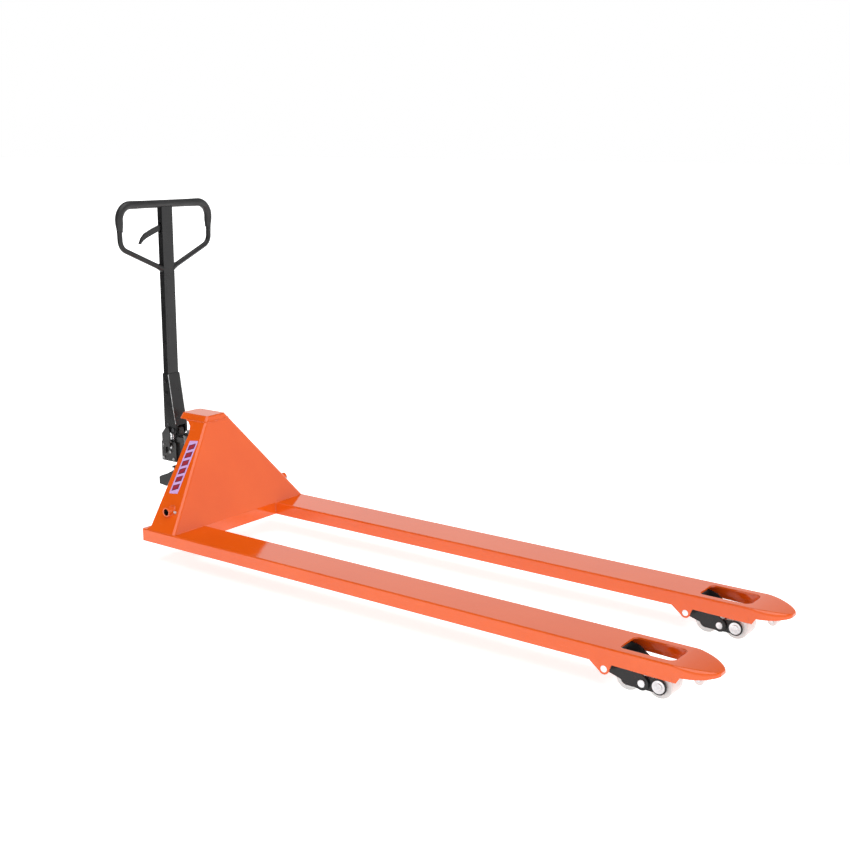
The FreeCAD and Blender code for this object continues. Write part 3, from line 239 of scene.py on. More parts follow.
def make_flag(distance, reach, tall):
    """A black cloth standing on the jack's right. Only mirror-like rays see it, so dark paint stays dark."""
    rear, front = reach
    corners = [(rear, 0), (front, 0), (front, tall), (rear, tall)]
    mesh = bpy.data.meshes.new("flag")
    mesh.from_pydata([(x, -distance, z) for x, z in corners], [], [(0, 1, 2, 3)])
    flag = bpy.data.objects.new("flag", mesh)
    cloth = Recipe("black_cloth")
    cloth.colour(cloth.blend(cloth.noise(200), (0.004, 0.004, 0.004), (0.012, 0.012, 0.012)))
    mesh.materials.append(cloth.material)
    flag.visible_camera = False
    flag.visible_diffuse = False
    flag.visible_shadow = False
    bpy.context.collection.objects.link(flag)


make_camera()
make_world()
make_sun((-0.25, 0.08, -0.965), 2.3, 70)
make_flag(1.3, (-5.0, -1.4), 2.8)
bpy.context.scene.view_settings.view_transform = "Standard"

# ---- finishes ----


def orange_paint():
    """Glossy stoved enamel: a faint orange-peel skin, clouded tint, rubbed edges and fine scratches."""
    r = Recipe("orange_enamel")
    clouds = r.spread(r.noise(5, 4), 0.35, 0.65)
    body = r.blend(clouds, (0.72, 0.092, 0.004), (0.75, 0.102, 0.005))
    scratch = r.spread(r.noise(60, 2, (0.25, 8, 8)), 0.70, 0.74)
    scratched = r.blend(r.maths("MULTIPLY", scratch, 0.12), body, (0.95, 0.42, 0.22))
    worn = r.maths("MULTIPLY", r.edges(1.2 * MM), r.spread(r.noise(45, 5), 0.42, 0.62, 0.15, 0.6))
    r.colour(r.blend(worn, scratched, (0.93, 0.30, 0.12)))
    smears = r.spread(r.noise(9, 5), 0.3, 0.7, 0.05, 0.10)
    r.roughness(r.maths("ADD", smears, r.maths("MULTIPLY", scratch, 0.12)))
    r.fixed(IOR=1.57)
    peel = r.maths("ADD", r.noise(420, 2), r.maths("MULTIPLY", r.noise(28, 2), 2.0))
    r.relief(peel, 0.05 * MM, 0.5, soften=1.6 * MM)
    return r.material


def black_paint():
    """Semi-gloss charcoal powder coat with a fine grain, scuffs and greyer edges."""
    r = Recipe("charcoal_coat")
    clouds = r.spread(r.noise(14, 4), 0.35, 0.65)
    body = r.blend(clouds, (0.006, 0.006, 0.0065), (0.010, 0.010, 0.0105))
    scuff = r.spread(r.noise(90, 3, (0.6, 0.6, 6)), 0.66, 0.74)
    scuffed = r.blend(r.maths("MULTIPLY", scuff, 0.3), body, (0.07, 0.07, 0.072))
    worn = r.maths("MULTIPLY", r.edges(0.9 * MM), r.spread(r.noise(70, 4), 0.45, 0.65, 0.2, 0.8))
    r.colour(r.blend(worn, scuffed, (0.10, 0.10, 0.105)))
    r.roughness(r.spread(r.noise(22, 4), 0.3, 0.7, 0.24, 0.36))
    r.fixed(Specular_IOR_Level=0.36)
    r.relief(r.noise(900, 2), 0.04 * MM, 0.6, soften=1.2 * MM)
    return r.material


def cast_black():
    """Painted iron casting: a pebbled skin, oily patches and metal showing on rubbed edges."""
    r = Recipe("painted_casting")
    clouds = r.spread(r.noise(20, 5), 0.35, 0.65)
    body = r.blend(clouds, (0.006, 0.006, 0.0065), (0.014, 0.0135, 0.0135))
    worn = r.maths("MULTIPLY", r.edges(1.4 * MM), r.spread(r.noise(60, 5), 0.48, 0.62, 0.0, 0.8))
    r.colour(r.blend(worn, body, (0.20, 0.195, 0.19)))
    r.roughness(r.spread(r.noise(16, 5), 0.35, 0.65, 0.28, 0.62))
    r.fixed(Coat_Weight=0.25, Coat_Roughness=0.2)
    grain = r.maths("ADD", r.noise(260, 4), r.maths("MULTIPLY", r.noise(60, 3), 1.5))
    r.relief(grain, 0.16 * MM, 0.7, soften=1.6 * MM)
    return r.material


def metal(name, pale, dark, rough_low, rough_high, grain=(1, 1, 1), grain_scale=300, depth=0.02, soften=0.6):
    """A bare or plated metal with brushed or turned grain, stains and uneven polish."""
    r = Recipe(name)
    stain = r.spread(r.noise(30, 5), 0.4, 0.68)
    r.colour(r.blend(stain, pale, dark))
    lines = r.noise(grain_scale, 3, grain)
    patches = r.spread(r.noise(40, 4), 0.3, 0.7, rough_low, rough_high)
    r.roughness(r.maths("ADD", patches, r.spread(lines, 0.4, 0.7, 0.0, 0.06)))
    r.fixed(Metallic=1.0)
    r.relief(lines, depth * MM, 0.6, soften=soften * MM)
    return r.material


def nylon():
    """White moulded nylon, slightly see-into, with fine turning marks and faint grey traffic."""
    r = Recipe("white_nylon")
    dirt = r.spread(r.noise(35, 6), 0.5, 0.75, 0.0, 0.3)
    r.colour(r.blend(dirt, (0.72, 0.72, 0.71), (0.56, 0.555, 0.54)))
    r.roughness(r.spread(r.noise(25, 4), 0.3, 0.7, 0.26, 0.42))
    r.fixed(Subsurface_Weight=0.15, Subsurface_Radius=(0.004, 0.004, 0.004), Subsurface_Scale=1.0)
    turning = r.noise(500, 2, (1, 3, 1))
    r.relief(turning, 0.03 * MM, 0.5, soften=1.5 * MM)
    return r.material


def rubber(name, dark, pale, rough_low, rough_high, grain, depth):
    """Moulded rubber with a fine leathery grain and dusty patches."""
    r = Recipe(name)
    dust = r.spread(r.noise(24, 6), 0.42, 0.72)
    r.colour(r.blend(dust, dark, pale))
    r.roughness(r.spread(r.noise(18, 5), 0.3, 0.7, rough_low, rough_high))
    skin = r.maths("ADD", r.noise(grain, 3), r.maths("MULTIPLY", r.noise(grain / 6, 2), 0.8))
    r.relief(skin, depth * MM, 0.7, soften=0.8 * MM)
    return r.material


def film(name, tint, second):
    """Printed vinyl: even ink, faint mottling, a soft sheen and tiny bubbles."""
    r = Recipe(name)
    r.colour(r.blend(r.spread(r.noise(80, 4), 0.35, 0.65), tint, second))
    r.roughness(r.spread(r.noise(50, 3), 0.3, 0.7, 0.25, 0.4))
    r.relief(r.noise(300, 3), 0.03 * MM, 0.5, soften=0.2 * MM)
    return r.material


def pale_floor():
    """Matt white floor lit from below, as a light table is, with a barely seen mottling."""
    r = Recipe("studio_floor")
    r.colour(r.blend(r.spread(r.noise(2, 4), 0.3, 0.7), (0.90, 0.90, 0.90), (0.93, 0.93, 0.93)))
    r.roughness(r.spread(r.noise(6, 3), 0.3, 0.7, 0.55, 0.7))
    r.relief(r.noise(60, 3), 0.1 * MM, 0.3)
    r.fixed(Emission_Color=(1, 1, 1, 1), Emission_Strength=0.7)
    return r.material


DARK_RUBBER = (0.006, 0.006, 0.0065)
PALE_RUBBER = (0.012, 0.012, 0.0125)
DARK_TYRE = (0.014, 0.014, 0.014)
DUSTY_TYRE = (0.045, 0.043, 0.041)

FINISHES = {
    "orange_paint": orange_paint(),
    "black_paint": black_paint(),
    "cast_black": cast_black(),
    "bright_steel": metal("ground_steel", (0.70, 0.70, 0.71), (0.48, 0.48, 0.49), 0.20, 0.34, (1, 9, 1)),
    "zinc_steel": metal("zinc_plate", (0.62, 0.63, 0.64), (0.45, 0.46, 0.46), 0.28, 0.45, grain_scale=160),
    "chrome": metal(
        "hard_chrome", (0.82, 0.83, 0.85), (0.70, 0.71, 0.74), 0.06, 0.12, (1, 1, 12), 300, 0.005
    ),
    "bronze": metal("sintered_bronze", (0.56, 0.36, 0.16), (0.40, 0.25, 0.12), 0.30, 0.48, grain_scale=700),
    "white_nylon": nylon(),
    "black_rubber": rubber("grip_sleeve", DARK_RUBBER, PALE_RUBBER, 0.38, 0.56, 1100, 0.06),
    "tyre": rubber("tyre_rubber", DARK_TYRE, DUSTY_TYRE, 0.55, 0.78, 700, 0.12),
    "label_film": film("lilac_film", (0.56, 0.33, 0.66), (0.60, 0.38, 0.69)),
}
INK = film("dark_red_ink", (0.30, 0.012, 0.03), (0.36, 0.02, 0.035))
LINE_INK = film("navy_ink", (0.012, 0.006, 0.03), (0.02, 0.009, 0.045))
DARK_STEEL = metal("blackened_steel", (0.10, 0.10, 0.105), (0.055, 0.055, 0.06), 0.26, 0.42, (1, 9, 1))


def paint_frame():
    """Every CAD node takes the finish of its slot in the record, but the handle's pins are blackened."""
    slots = {part["node"]: part["material_slot"] for part in frame["record"]["subparts"]}
    for name, item in frame["nodes"].items():
        for slot in item.material_slots:
            slot.material = DARK_STEEL if name == "handle_pins" else FINISHES[slots[name]]


paint_frame()

# ---- meshes ----


class Skin:
    """Vertices and faces gathered from several shells, which become one piece."""

    def __init__(self):
        self.vertices = []
        self.faces = []

    def rings(self, rings, closed=False):
        """Skin a row of rings with equal numbers of points. The two ends are capped unless the row closes."""
        first = len(self.vertices)
        count = len(rings[0])
        rows = len(rings)
        for ring in rings:
            self.vertices.extend(ring)
        for row in range(rows if closed else rows - 1):
            here = first + row * count
            ahead = first + (row + 1) % rows * count
            for k in range(count):
                after = (k + 1) % count
                self.faces.append((here + k, here + after, ahead + after, ahead + k))
        if not closed:
            self.faces.append(tuple(range(first, first + count)))
            self.faces.append(tuple(range(first + (rows - 1) * count, first + rows * count)))

    def turned(self, centre, axis, profile, turns=36, closed=False, flats=0):
        """Turn (along, radius) points round an axis. A radius below zero gives a ring with flats."""
        axis = Vector(axis).normalized()
        across = axis.orthogonal().normalized()
        upward = axis.cross(across)
        rings = []
        for along, radius in profile:
            ring = []
            for k in range(turns):
                angle = 2 * math.pi * k / turns
                reach = abs(radius)
                if radius < 0:
                    wedge = 2 * math.pi / flats
                    reach /= math.cos((angle + wedge / 2) % wedge - wedge / 2)
                spoke = across * math.cos(angle) + upward * math.sin(angle)
                ring.append(centre + axis * along + spoke * reach)
            rings.append(ring)
        self.rings(rings, closed)

    def swept(self, path, radius, sides=8, closed=False):
        """A round bar along a path. The radius is a function of the distance gone, or one number."""
        count = len(path)
        across = None
        gone = 0.0
        rings = []
        for i, point in enumerate(path):
            before = path[i - 1] if closed or i else point
            after = path[(i + 1) % count] if closed or i < count - 1 else point
            heading = (after - before).normalized()
            if across is None:
                across = heading.orthogonal().normalized()
            across = (across - heading * across.dot(heading)).normalized()
            upward = heading.cross(across)
            reach = radius(gone) if callable(radius) else radius
            turn = [2 * math.pi * k / sides for k in range(sides)]
            rings.append([point + (across * math.cos(a) + upward * math.sin(a)) * reach for a in turn])
            gone += (path[(i + 1) % count] - point).length
        self.rings(rings, closed)

    def slab(self, outline, thick, bevel=0.0):
        """A flat plate from an outline of points, thickened along a vector, with its rims bevelled."""
        centre = sum(outline, Vector()) / len(outline)
        if not bevel:
            self.rings([outline, [p + thick for p in outline]])
            return
        inset = [p + (centre - p).normalized() * bevel * 1.3 for p in outline]
        step = thick.normalized() * bevel
        self.rings([
            inset,
            [p + step for p in outline],
            [p + thick - step for p in outline],
            [p + thick for p in inset],
        ])

    def piece(self, name, body, slot, finish=None):
        """The finished piece, smooth but for edges sharper than CREASE."""
        mesh = bpy.data.meshes.new(name)
        mesh.from_pydata([tuple(v) for v in self.vertices], [], self.faces)
        mesh.materials.append(finish or FINISHES[slot])
        work = bmesh.new()
        work.from_mesh(mesh)
        bmesh.ops.recalc_face_normals(work, faces=work.faces)
        for face in work.faces:
            face.smooth = True
        for edge in work.edges:
            edge.smooth = len(edge.link_faces) == 2 and edge.calc_face_angle() < CREASE
        work.to_mesh(mesh)
        work.free()
        item = bpy.data.objects.new(name, mesh)
        bpy.context.collection.objects.link(item)
        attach(item, body)
        return item


def resampled(path, spacing, closed=False):
    """Points every so far along a path of straight runs."""
    ends = list(path) + ([path[0]] if closed else [])
    made = []
    for start, end in zip(ends, ends[1:]):
        steps = max(1, round((end - start).length / spacing))
        made.extend(start.lerp(end, i / steps) for i in range(steps))
    return made if closed else made + [ends[-1]]


def rounded(corners, radii, steps=10):
    """A path of straight runs with each inner corner rounded by an arc."""
    made = [corners[0]]
    for before, corner, after, radius in zip(corners, corners[1:], corners[2:], radii):
        back = (before - corner).normalized()
        ahead = (after - corner).normalized()
        half = (math.pi - back.angle(ahead)) / 2
        reach = radius * math.tan(half)
        centre = corner + (back + ahead).normalized() * (radius / math.cos(half))
        enter = (corner + back * reach - centre).normalized()
        leave = (corner + ahead * reach - centre).normalized()
        for i in range(steps + 1):
            made.append(centre + enter.slerp(leave, i / steps) * radius)
    made.append(corners[-1])
    return made


def lumps(node):
    """The separate solids of a CAD node, each as its lowest and highest corner."""
    work = bmesh.new()
    work.from_mesh(frame["nodes"][node].data)
    bmesh.ops.remove_doubles(work, verts=work.verts, dist=0.01 * MM)
    left = set(work.verts)
    found = []
    while left:
        frontier = [left.pop()]
        members = []
        while frontier:
            vertex = frontier.pop()
            members.append(vertex.co.copy())
            for edge in vertex.link_edges:
                other = edge.other_vert(vertex)
                if other in left:
                    left.remove(other)
                    frontier.append(other)
        found.append((Vector(np.min(members, axis=0)), Vector(np.max(members, axis=0))))
    work.free()
    return sorted(found, key=lambda corners: tuple(round(c, 5) for c in corners[0]))


def scaled(profile):
    """A turned profile given in millimetres, in metres."""
    return [(along * MM, radius * MM) for along, radius in profile]


# ---- places ----

FORK_TOP = high("fork_right").z
SHAFT = middle("rocker_shaft")
HEEL = SHAFT.x - 78 * MM
INNER_Y = abs(high("fork_right").y)
FOOT_X = high("frame_shell").x
CAP_TOP = high("top_cap").z
SIDE_SLOPE = 0.8177
FRONT_SLOPE = 0.3177
CAP_HALF = 46 * MM
FRONT_AT_TOP = HEEL + 30 * MM
STEM = middle("handle_stem")
STEM_HALF = (high("handle_stem") - low("handle_stem")) / 2
LOOP_FOOT = 1.014
LOOP_WAIST = 1.098
APRON_LOW = 0.084
FOOT_WELD_END = 0.322


def side_y(z):
    return CAP_HALF + SIDE_SLOPE * (CAP_TOP - z)


def front_x(z):
    return FRONT_AT_TOP + FRONT_SLOPE * (CAP_TOP - z)


# ---- welds ----


def bead(skin, path, radius, closed=False):
    """A weld run: the overlapping ripples of the pool, uneven along its length and pinched at its ends."""
    ripple = 3.2 * MM
    path = resampled(path, ripple / 3, closed)
    length = sum((b - a).length for a, b in zip(path, path[1:]))

    def size_at(gone):
        wave = 1 + 0.14 * math.cos(2 * math.pi * gone / ripple)
        wave += 0.07 * math.sin(gone * 140) + 0.05 * math.sin(gone * 61)
        ends = 1 if closed else min(1, 0.3 + min(gone, abs(length - gone)) / (4 * MM))
        return radius * wave * ends

    skin.swept(path, size_at, closed=closed)


def frame_welds():
    """Beads round the front plate's foot, its apron, the cap and the two bosses."""
    skin = Skin()
    for side in (-1, 1):
        foot = [Vector((FOOT_X - 1 * MM, side * y, FORK_TOP - 0.4 * MM)) for y in (INNER_Y, FOOT_WELD_END)]
        bead(skin, foot, 2.2 * MM)
        drop = [Vector((FOOT_X - 0.5 * MM, side * (INNER_Y - 0.4 * MM), z)) for z in (APRON_LOW, FORK_TOP)]
        bead(skin, drop, 2.6 * MM)
        ring = []
        boss, steps = 17 * MM, 48
        for k in range(steps):
            angle = 2 * math.pi * k / steps
            z = SHAFT.z + boss * math.sin(angle)
            ring.append(Vector((SHAFT.x + boss * math.cos(angle), side * side_y(z), z)))
        bead(skin, ring, 2.4 * MM, closed=True)
    z = low("top_cap").z
    back = HEEL - 64 * MM
    fold = 14 * MM
    band = [(back, -side_y(z)), (front_x(z), -side_y(z)), (front_x(z), side_y(z)), (back, side_y(z))]
    bead(skin, rounded([Vector((x, y, z)) for x, y in band], (fold, fold)), 2.2 * MM)
    skin.piece("frame_welds", "chassis", "orange_paint")


def handle_welds():
    """Where each foot of the loop meets the stem: a ring of weld, and the tube's foot flared to meet it."""
    skin = Skin()
    steps = 40
    for side in (-1, 1):
        ring = []
        for k in range(steps):
            angle = 2 * math.pi * k / steps
            x, z = 10 * MM * math.cos(angle), 11 * MM * math.sin(angle)
            ring.append(Vector((STEM.x + x, side * (STEM_HALF.y + 0.2 * MM), LOOP_FOOT + z)))
        bead(skin, ring, 1.9 * MM, closed=True)
        foot = Vector((STEM.x, side * (STEM_HALF.y - 2 * MM), LOOP_FOOT))
        flare = resampled([foot, foot + Vector((0, side * 26 * MM, 11 * MM))], 2 * MM)
        skin.swept(flare, lambda gone: 13.5 * MM - 0.14 * gone, sides=20)
    skin.piece("handle_welds", "handle", "black_paint")


def boss_bore_shade():
    """Black cups lining the bores of the bosses, in front of the ends of the rocker's shaft: painted shade
    that darkens the holes.
    """
    skin = Skin()
    cup = [(0.4, 12.45), (18.4, 12.45), (18.4, 11.9), (1.2, 11.9), (1.2, 0.3)]
    for side in (-1, 1):
        mouth = side * high("rocker_bosses").y
        place = Vector((SHAFT.x, mouth - side * 19.6 * MM, SHAFT.z))
        skin.turned(place, (0, side, 0), scaled(cup), turns=32)
    skin.piece("boss_bore_shade", "chassis", "cast_black")


# ---- small hardware ----


def cap_screw(skin, place, axis, radius, tall):
    """A socket-headed screw: chamfered head, knurled side and a hexagonal socket."""
    socket = radius * 0.48
    profile = [
        (0, radius),
        (tall * 0.86, radius),
        (tall, radius * 0.86),
        (tall, -socket * 1.08),
        (tall * 0.93, -socket),
        (tall * 0.35, -socket),
    ]
    skin.turned(place, axis, profile, turns=36, flats=6)


def screw_heads(name, node, body, slot):
    """A socket screw in place of each plain screw of a CAD node."""
    skin = Skin()
    for lowest, highest in lumps(node):
        centre = (lowest + highest) / 2
        outward = 1 if centre.y > 0 else -1
        start = Vector((centre.x, lowest.y if outward > 0 else highest.y, centre.z))
        cap_screw(skin, start, (0, outward, 0), (highest.x - lowest.x) / 2, highest.y - lowest.y)
    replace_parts(skin.piece(name, body, slot), node)


def hexagon(skin, place, axis, radius, tall, chamfer):
    """A hexagonal nut or plug. The chamfer is how far its rim rises and how far it draws in."""
    rise, inward = chamfer
    profile = [(0, -radius), (tall, -radius), (tall + rise, inward - radius)]
    skin.turned(place, axis, scaled(profile), turns=36, flats=6)


def grease_nipples():
    """A nipple beside each boss, screwed into the sloping plate."""
    skin = Skin()
    slope = math.atan(SIDE_SLOPE)
    neck = [(4, 3.2), (6, 3.2), (7, 2.1), (8.6, 2.1), (9.6, 3.0), (11, 3.0), (12, 2.2), (12.4, 1.0)]
    for side in (-1, 1):
        z = SHAFT.z - 2 * MM
        outward = Vector((0, side * math.cos(slope), math.sin(slope)))
        seat = Vector((SHAFT.x + 26 * MM, side * side_y(z), z)) - outward * 1 * MM
        hexagon(skin, seat, outward, radius=4.6, tall=4, chamfer=(0.4, 0.6))
        skin.turned(seat, outward, scaled(neck), turns=24)
    skin.piece("grease_nipples", "chassis", "zinc_steel")


PIN_BODIES = [
    (f"{pin}_pin_{side}", f"{body}_{side}")
    for pin, body in (("bogie", "bogie_pin"), ("rod", "wheel_frame"))
    for side in ("right", "left")
]


def pin_clips():
    """Sprung rings, open at one side, in the grooves at the ends of the pins."""
    first, sweep, steps = 30, 300, 32
    for node, body in PIN_BODIES:
        skin = Skin()
        lowest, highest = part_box(node)
        centre = (lowest + highest) / 2
        radius = (highest.x - lowest.x) / 2 + 0.5 * MM
        for y in (lowest.y + 1.1 * MM, highest.y - 1.1 * MM):
            arc = []
            for k in range(steps + 1):
                angle = math.radians(first + sweep * k / steps)
                x, z = radius * math.cos(angle), radius * math.sin(angle)
                arc.append(Vector((centre.x + x, y, centre.z + z)))
            skin.swept(arc, 0.9 * MM, sides=8)
        skin.piece(f"{node}_clips", body, "zinc_steel")


def bogie_rims():
    """Black rims round the front roller's axle heads, on both faces of each bogie."""
    ring = [(0, 19.3), (0, 23.5), (2.6, 23.5), (3.4, 22.6), (3.4, 20.1), (2.8, 19.3)]
    for side in ("right", "left"):
        skin = Skin()
        plates_low, plates_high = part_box(f"bogie_plates_{side}")
        axle = middle(f"load_roller_front_{side}")
        for face, outward in ((plates_low.y, -1), (plates_high.y, 1)):
            place = Vector((axle.x, face - outward * 0.3 * MM, axle.z))
            skin.turned(place, (0, outward, 0), scaled(ring), turns=48, closed=True)
        skin.piece(f"bogie_rims_{side}", f"bogie_{side}", "black_paint")


def label_face(side):
    """One label's middle on its outer face, with its long, short and outward ways and its half sizes."""
    points = np.array([v.co for v in frame["nodes"]["side_labels"].data.vertices])
    own = points[points[:, 1] * side > 0]
    axes = np.linalg.svd(own - own.mean(0), full_matrices=False)[2]
    long_way, short_way, outward = (Vector(a) for a in axes)
    long_way *= 1 if long_way.z > 0 else -1
    outward *= 1 if outward.y * side > 0 else -1
    short_way *= 1 if short_way.x > 0 else -1
    spans = [own @ np.array(a) for a in (long_way, short_way, outward)]
    middles = [(s.max() + s.min()) / 2 for s in spans]
    half_long, half_short = [(s.max() - s.min()) / 2 for s in spans[:2]]
    face = long_way * middles[0] + short_way * middles[1] + outward * float(spans[2].max())
    return face, long_way, short_way, outward, half_long, half_short


def label_hatch():
    """Slanted bars with a dark outline across each lilac plate: a plain pattern with no lettering."""
    bars = 6
    margin = 9 * MM
    lean = 4.5 * MM
    sunk = 0.05 * MM
    layers = (("line", 2.4 * MM, 0.10 * MM, LINE_INK), ("bar", 0.0, 0.22 * MM, INK))
    for side, name in ((-1, "right"), (1, "left")):
        face, long_way, short_way, outward, half_long, half_short = label_face(side)
        pitch = 2 * (half_long - margin) / bars
        for layer, grow, deep, ink in layers:
            skin = Skin()
            bar_half = pitch * 0.26 + grow
            wide_half = half_short * 0.58 + grow
            for i in range(bars):
                along = -half_long + margin + pitch * (i + 0.5)
                corners = [
                    (along - bar_half - lean, -wide_half),
                    (along + bar_half - lean, -wide_half),
                    (along + bar_half + lean, wide_half),
                    (along - bar_half + lean, wide_half),
                ]
                outline = [face + long_way * a + short_way * b - outward * sunk for a, b in corners]
                skin.slab(outline, outward * (deep + sunk))
            skin.piece(f"label_{layer}_{name}", "chassis", "label_film", ink)


def grip_sleeve():
    """The moulded sleeve over the loop, thickest on its shoulders and tapering to its two ends."""
    lowest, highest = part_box("handle_grip")
    radius = 15 * MM
    centre_x = (lowest.x + highest.x) / 2
    half = highest.y - radius
    top_z = highest.z - radius
    lean = 6 * MM * (top_z - lowest.z) / (top_z - LOOP_WAIST)
    corners = [
        Vector((centre_x, -half + lean, lowest.z + 1.5 * MM)),
        Vector((centre_x, -half, top_z)),
        Vector((centre_x, half, top_z)),
        Vector((centre_x, half - lean, lowest.z + 1.5 * MM)),
    ]
    bend = 52 * MM
    spacing = 4 * MM
    path = resampled(rounded(corners, (bend, bend), steps=16), spacing)
    length = sum((b - a).length for a, b in zip(path, path[1:]))

    def size_at(gone):
        end = min(gone, abs(length - gone))
        taper = min(1, end / (34 * MM))
        swell = 0.5 - 0.5 * math.cos(math.pi * taper)
        lip = 0.8 * MM if end < 4 * MM else 0
        shoulder = math.exp(-((end - 120 * MM) / (50 * MM)) ** 2)
        return 11.2 * MM + lip + (3.0 * MM) * swell + 0.75 * MM * shoulder

    skin = Skin()
    skin.swept(path, size_at, sides=28)
    for away in (-1, 1):
        seam = [p + Vector((away * (size_at(i * spacing) - 0.15 * MM), 0, 0)) for i, p in enumerate(path)]
        skin.swept(seam[2:-2], 0.45 * MM, sides=6)
    sleeve = skin.piece("grip_sleeve", "handle", "black_rubber")
    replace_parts(sleeve, "handle_grip")


def pedal_tread():
    """Moulded ribs across the top of the foot pedal."""
    lowest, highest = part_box("foot_pedal")
    skin = Skin()
    toe = Vector((lowest.x, 0, lowest.z + 32 * MM))
    uphill = Vector((40, 0, 16)).normalized()
    outward = Vector((-uphill.z, 0, uphill.x))
    right, left = lowest.y + 1.5 * MM, highest.y - 1.5 * MM
    ribs = 6
    first, pitch, wide = 5 * MM, 6.2 * MM, 3 * MM
    for i in range(ribs):
        start = first + pitch * i
        corners = [(start, right), (start + wide, right), (start + wide, left), (start, left)]
        outline = [toe + uphill * a + Vector((0, y, 0)) - outward * 0.5 * MM for a, y in corners]
        skin.slab(outline, outward * 1.8 * MM, 0.5 * MM)
    skin.piece("pedal_tread", "pedal", "black_rubber")


def valve_gear():
    """The lowering valve's lever, its adjusting screw with a link, and the filler plug, on the right."""
    block_x = low("pump_body").x
    face = -30 * MM
    rightward = (0, -1, 0)
    hub = Vector((block_x + 20 * MM, face, 0.318))
    skin = Skin()
    skin.turned(hub, rightward, scaled([(0, 9), (5, 9), (6, 8), (6, 3)]), turns=32)
    outline = [(-8, -2), (-4, 34), (6, 36), (9, -2)]
    arm = [hub + Vector((a, -1, b)) * MM for a, b in outline]
    skin.slab(arm, Vector((0, -4 * MM, 0)), 0.7 * MM)
    skin.piece("valve_lever", "pump", "black_paint")
    bright = Skin()
    screw = hub + Vector((1, -5, 29)) * MM
    hexagon(bright, screw, rightward, radius=4.4, tall=3.2, chamfer=(0.6, 0.6))
    thread = [(3, 2.2)]
    for k in range(8):
        thread += [(3.4 + 0.6 * k, 2.4), (3.7 + 0.6 * k, 1.9)]
    bright.turned(screw, rightward, scaled(thread), turns=20)
    plug = Vector((block_x + 55 * MM, face, 0.338))
    hexagon(bright, plug, rightward, radius=5.2, tall=4, chamfer=(0.6, 0.8))
    route = [(0, -2, 0), (7, 1, 24), (12, 3, 47)]
    link = [screw + Vector(step) * MM for step in route]
    bright.swept(resampled(rounded(link, (25 * MM,)), 2 * MM), 1.3 * MM)
    bright.piece("valve_hardware", "pump", "zinc_steel")


def return_spring():
    """The coil round the plunger, closed up at both ends."""
    lowest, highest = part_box("plunger_spring")
    centre = (lowest + highest) / 2
    tall = highest.z - lowest.z
    wire = 1.5 * MM
    radius = (highest.x - lowest.x) / 2 - wire
    turns, dead_turn, steps = 9, 0.75, 26
    creep = 0.02
    slack = 0.72 * MM
    path = []
    for k in range(turns * steps + 1):
        turn = k / steps
        climb = min(max((turn - dead_turn) / (turns - 2 * dead_turn), 0), 1)
        climb += creep * (turn / turns - 0.5)
        z = lowest.z + wire + slack + climb * (tall - 2 * wire - 2 * slack)
        angle = 2 * math.pi * turn
        path.append(Vector((centre.x + radius * math.cos(angle), centre.y + radius * math.sin(angle), z)))
    skin = Skin()
    skin.swept(path, wire, sides=10)
    spring = skin.piece("return_spring", "plunger", "bright_steel")
    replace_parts(spring, "plunger_spring")
    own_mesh(spring)


def head_cheeks():
    """Forged cheeks on the pump, one either side of the handle's base, each on a foot."""
    block_x = low("pump_body").x
    skin = Skin()
    cheek = [(14, 0.352), (52, 0.352), (58, 0.385), (50, 0.412), (34, 0.414), (12, 0.388)]
    foot = [(12, 0.338), (54, 0.338), (54, 0.356), (12, 0.356)]
    for side in (-1, 1):
        for outline, inner, thick in ((cheek, 34.6 * MM, 5 * MM), (foot, 29.5 * MM, 10 * MM)):
            face = [Vector((block_x + a * MM, side * inner, z)) for a, z in outline]
            skin.slab(face, Vector((0, side * thick, 0)), 1.2 * MM)
    skin.piece("head_cheeks", "pump", "cast_black")


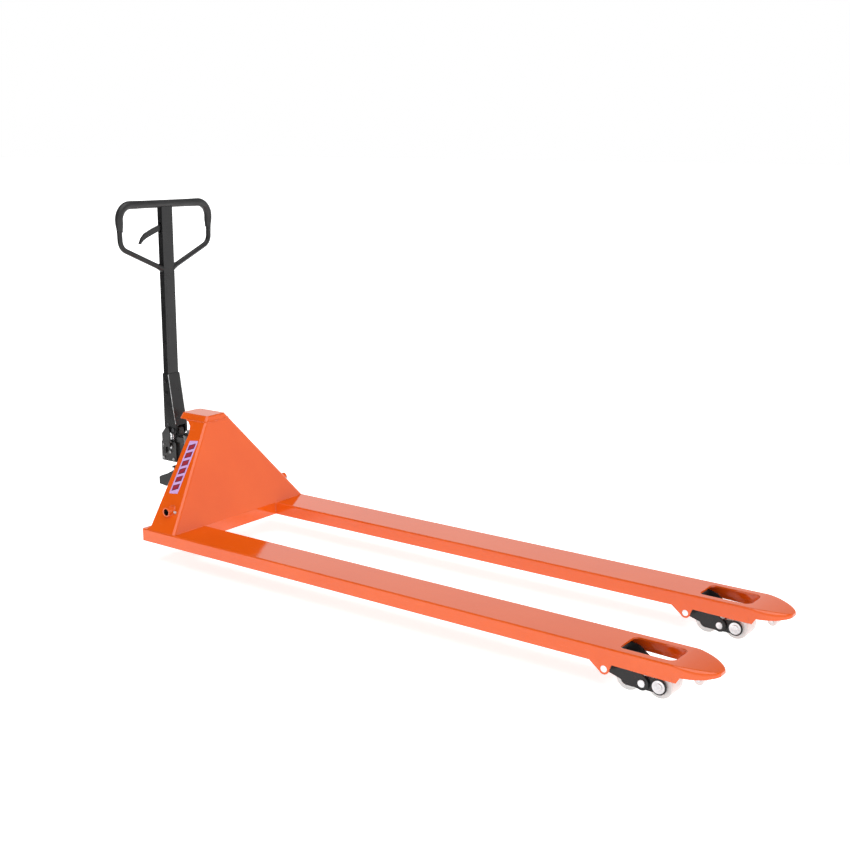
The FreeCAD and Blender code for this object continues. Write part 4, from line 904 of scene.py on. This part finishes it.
def round_stem(z, clear=0.0):
    """The four corners of a square path round the stem."""
    across, aside = STEM_HALF.x + clear, STEM_HALF.y + clear
    return [Vector((STEM.x + a * across, b * aside, z)) for a, b in ((-1, -1), (1, -1), (1, 1), (-1, 1))]


def stem_details():
    """The tube's rolled seam, the joint below the loop, and the weld round the top of the base."""
    skin = Skin()
    x = STEM.x + STEM_HALF.x
    y = 9 * MM - STEM_HALF.y
    bottom = high("handle_base").z
    seam = [Vector((x, y, z)) for z in (bottom + 2 * MM, LOOP_FOOT - 20 * MM)]
    skin.swept(resampled(seam, 30 * MM), 0.5 * MM, sides=6)
    bead(skin, round_stem(bottom, 0.6 * MM), 1.6 * MM, closed=True)
    skin.swept(round_stem(LOOP_FOOT - 22 * MM), 0.55 * MM, sides=8, closed=True)
    skin.piece("stem_details", "handle", "black_paint")


def base_edge_highlights():
    """Pale zinc strips along the handle base's two front edges: painted highlights standing in for the gleam
    on their rounded folds.
    """
    lowest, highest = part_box("handle_base")
    knee, toe = 0.475, 0.430

    def size_at(gone):
        return (1.0 + 0.25 * math.sin(gone * 310) + 0.15 * math.sin(gone * 97)) * MM

    skin = Skin()
    for y in (lowest.y, highest.y):
        edge = [
            Vector((lowest.x + 30 * MM, y, highest.z - 1 * MM)),
            Vector((highest.x - 10 * MM, y, knee)),
            Vector((highest.x - 1 * MM, y, toe)),
        ]
        # Each strip is a painted highlight, not worn metal.
        skin.swept(resampled(edge, 6 * MM), size_at, sides=10)
    skin.piece("base_edge_highlights", "handle", "zinc_steel")


frame_welds()
handle_welds()
boss_bore_shade()
screw_heads("pump_screws", "pump_bolts", "pump", "zinc_steel")
screw_heads("stem_screw_heads", "stem_screws", "handle", "black_paint")
grease_nipples()
pin_clips()
bogie_rims()
label_hatch()
grip_sleeve()
pedal_tread()
valve_gear()
return_spring()
head_cheeks()
stem_details()
base_edge_highlights()

FLOOR = 90


def make_floor():
    """A wide pale floor that runs past everything in view."""
    corners = [(-FLOOR, -FLOOR, 0), (FLOOR, -FLOOR, 0), (FLOOR, FLOOR, 0), (-FLOOR, FLOOR, 0)]
    mesh = bpy.data.meshes.new("floor")
    mesh.from_pydata(corners, [], [(0, 1, 2, 3)])
    mesh.materials.append(pale_floor())
    floor = bpy.data.objects.new("floor", mesh)
    bpy.context.collection.objects.link(floor)


make_floor()
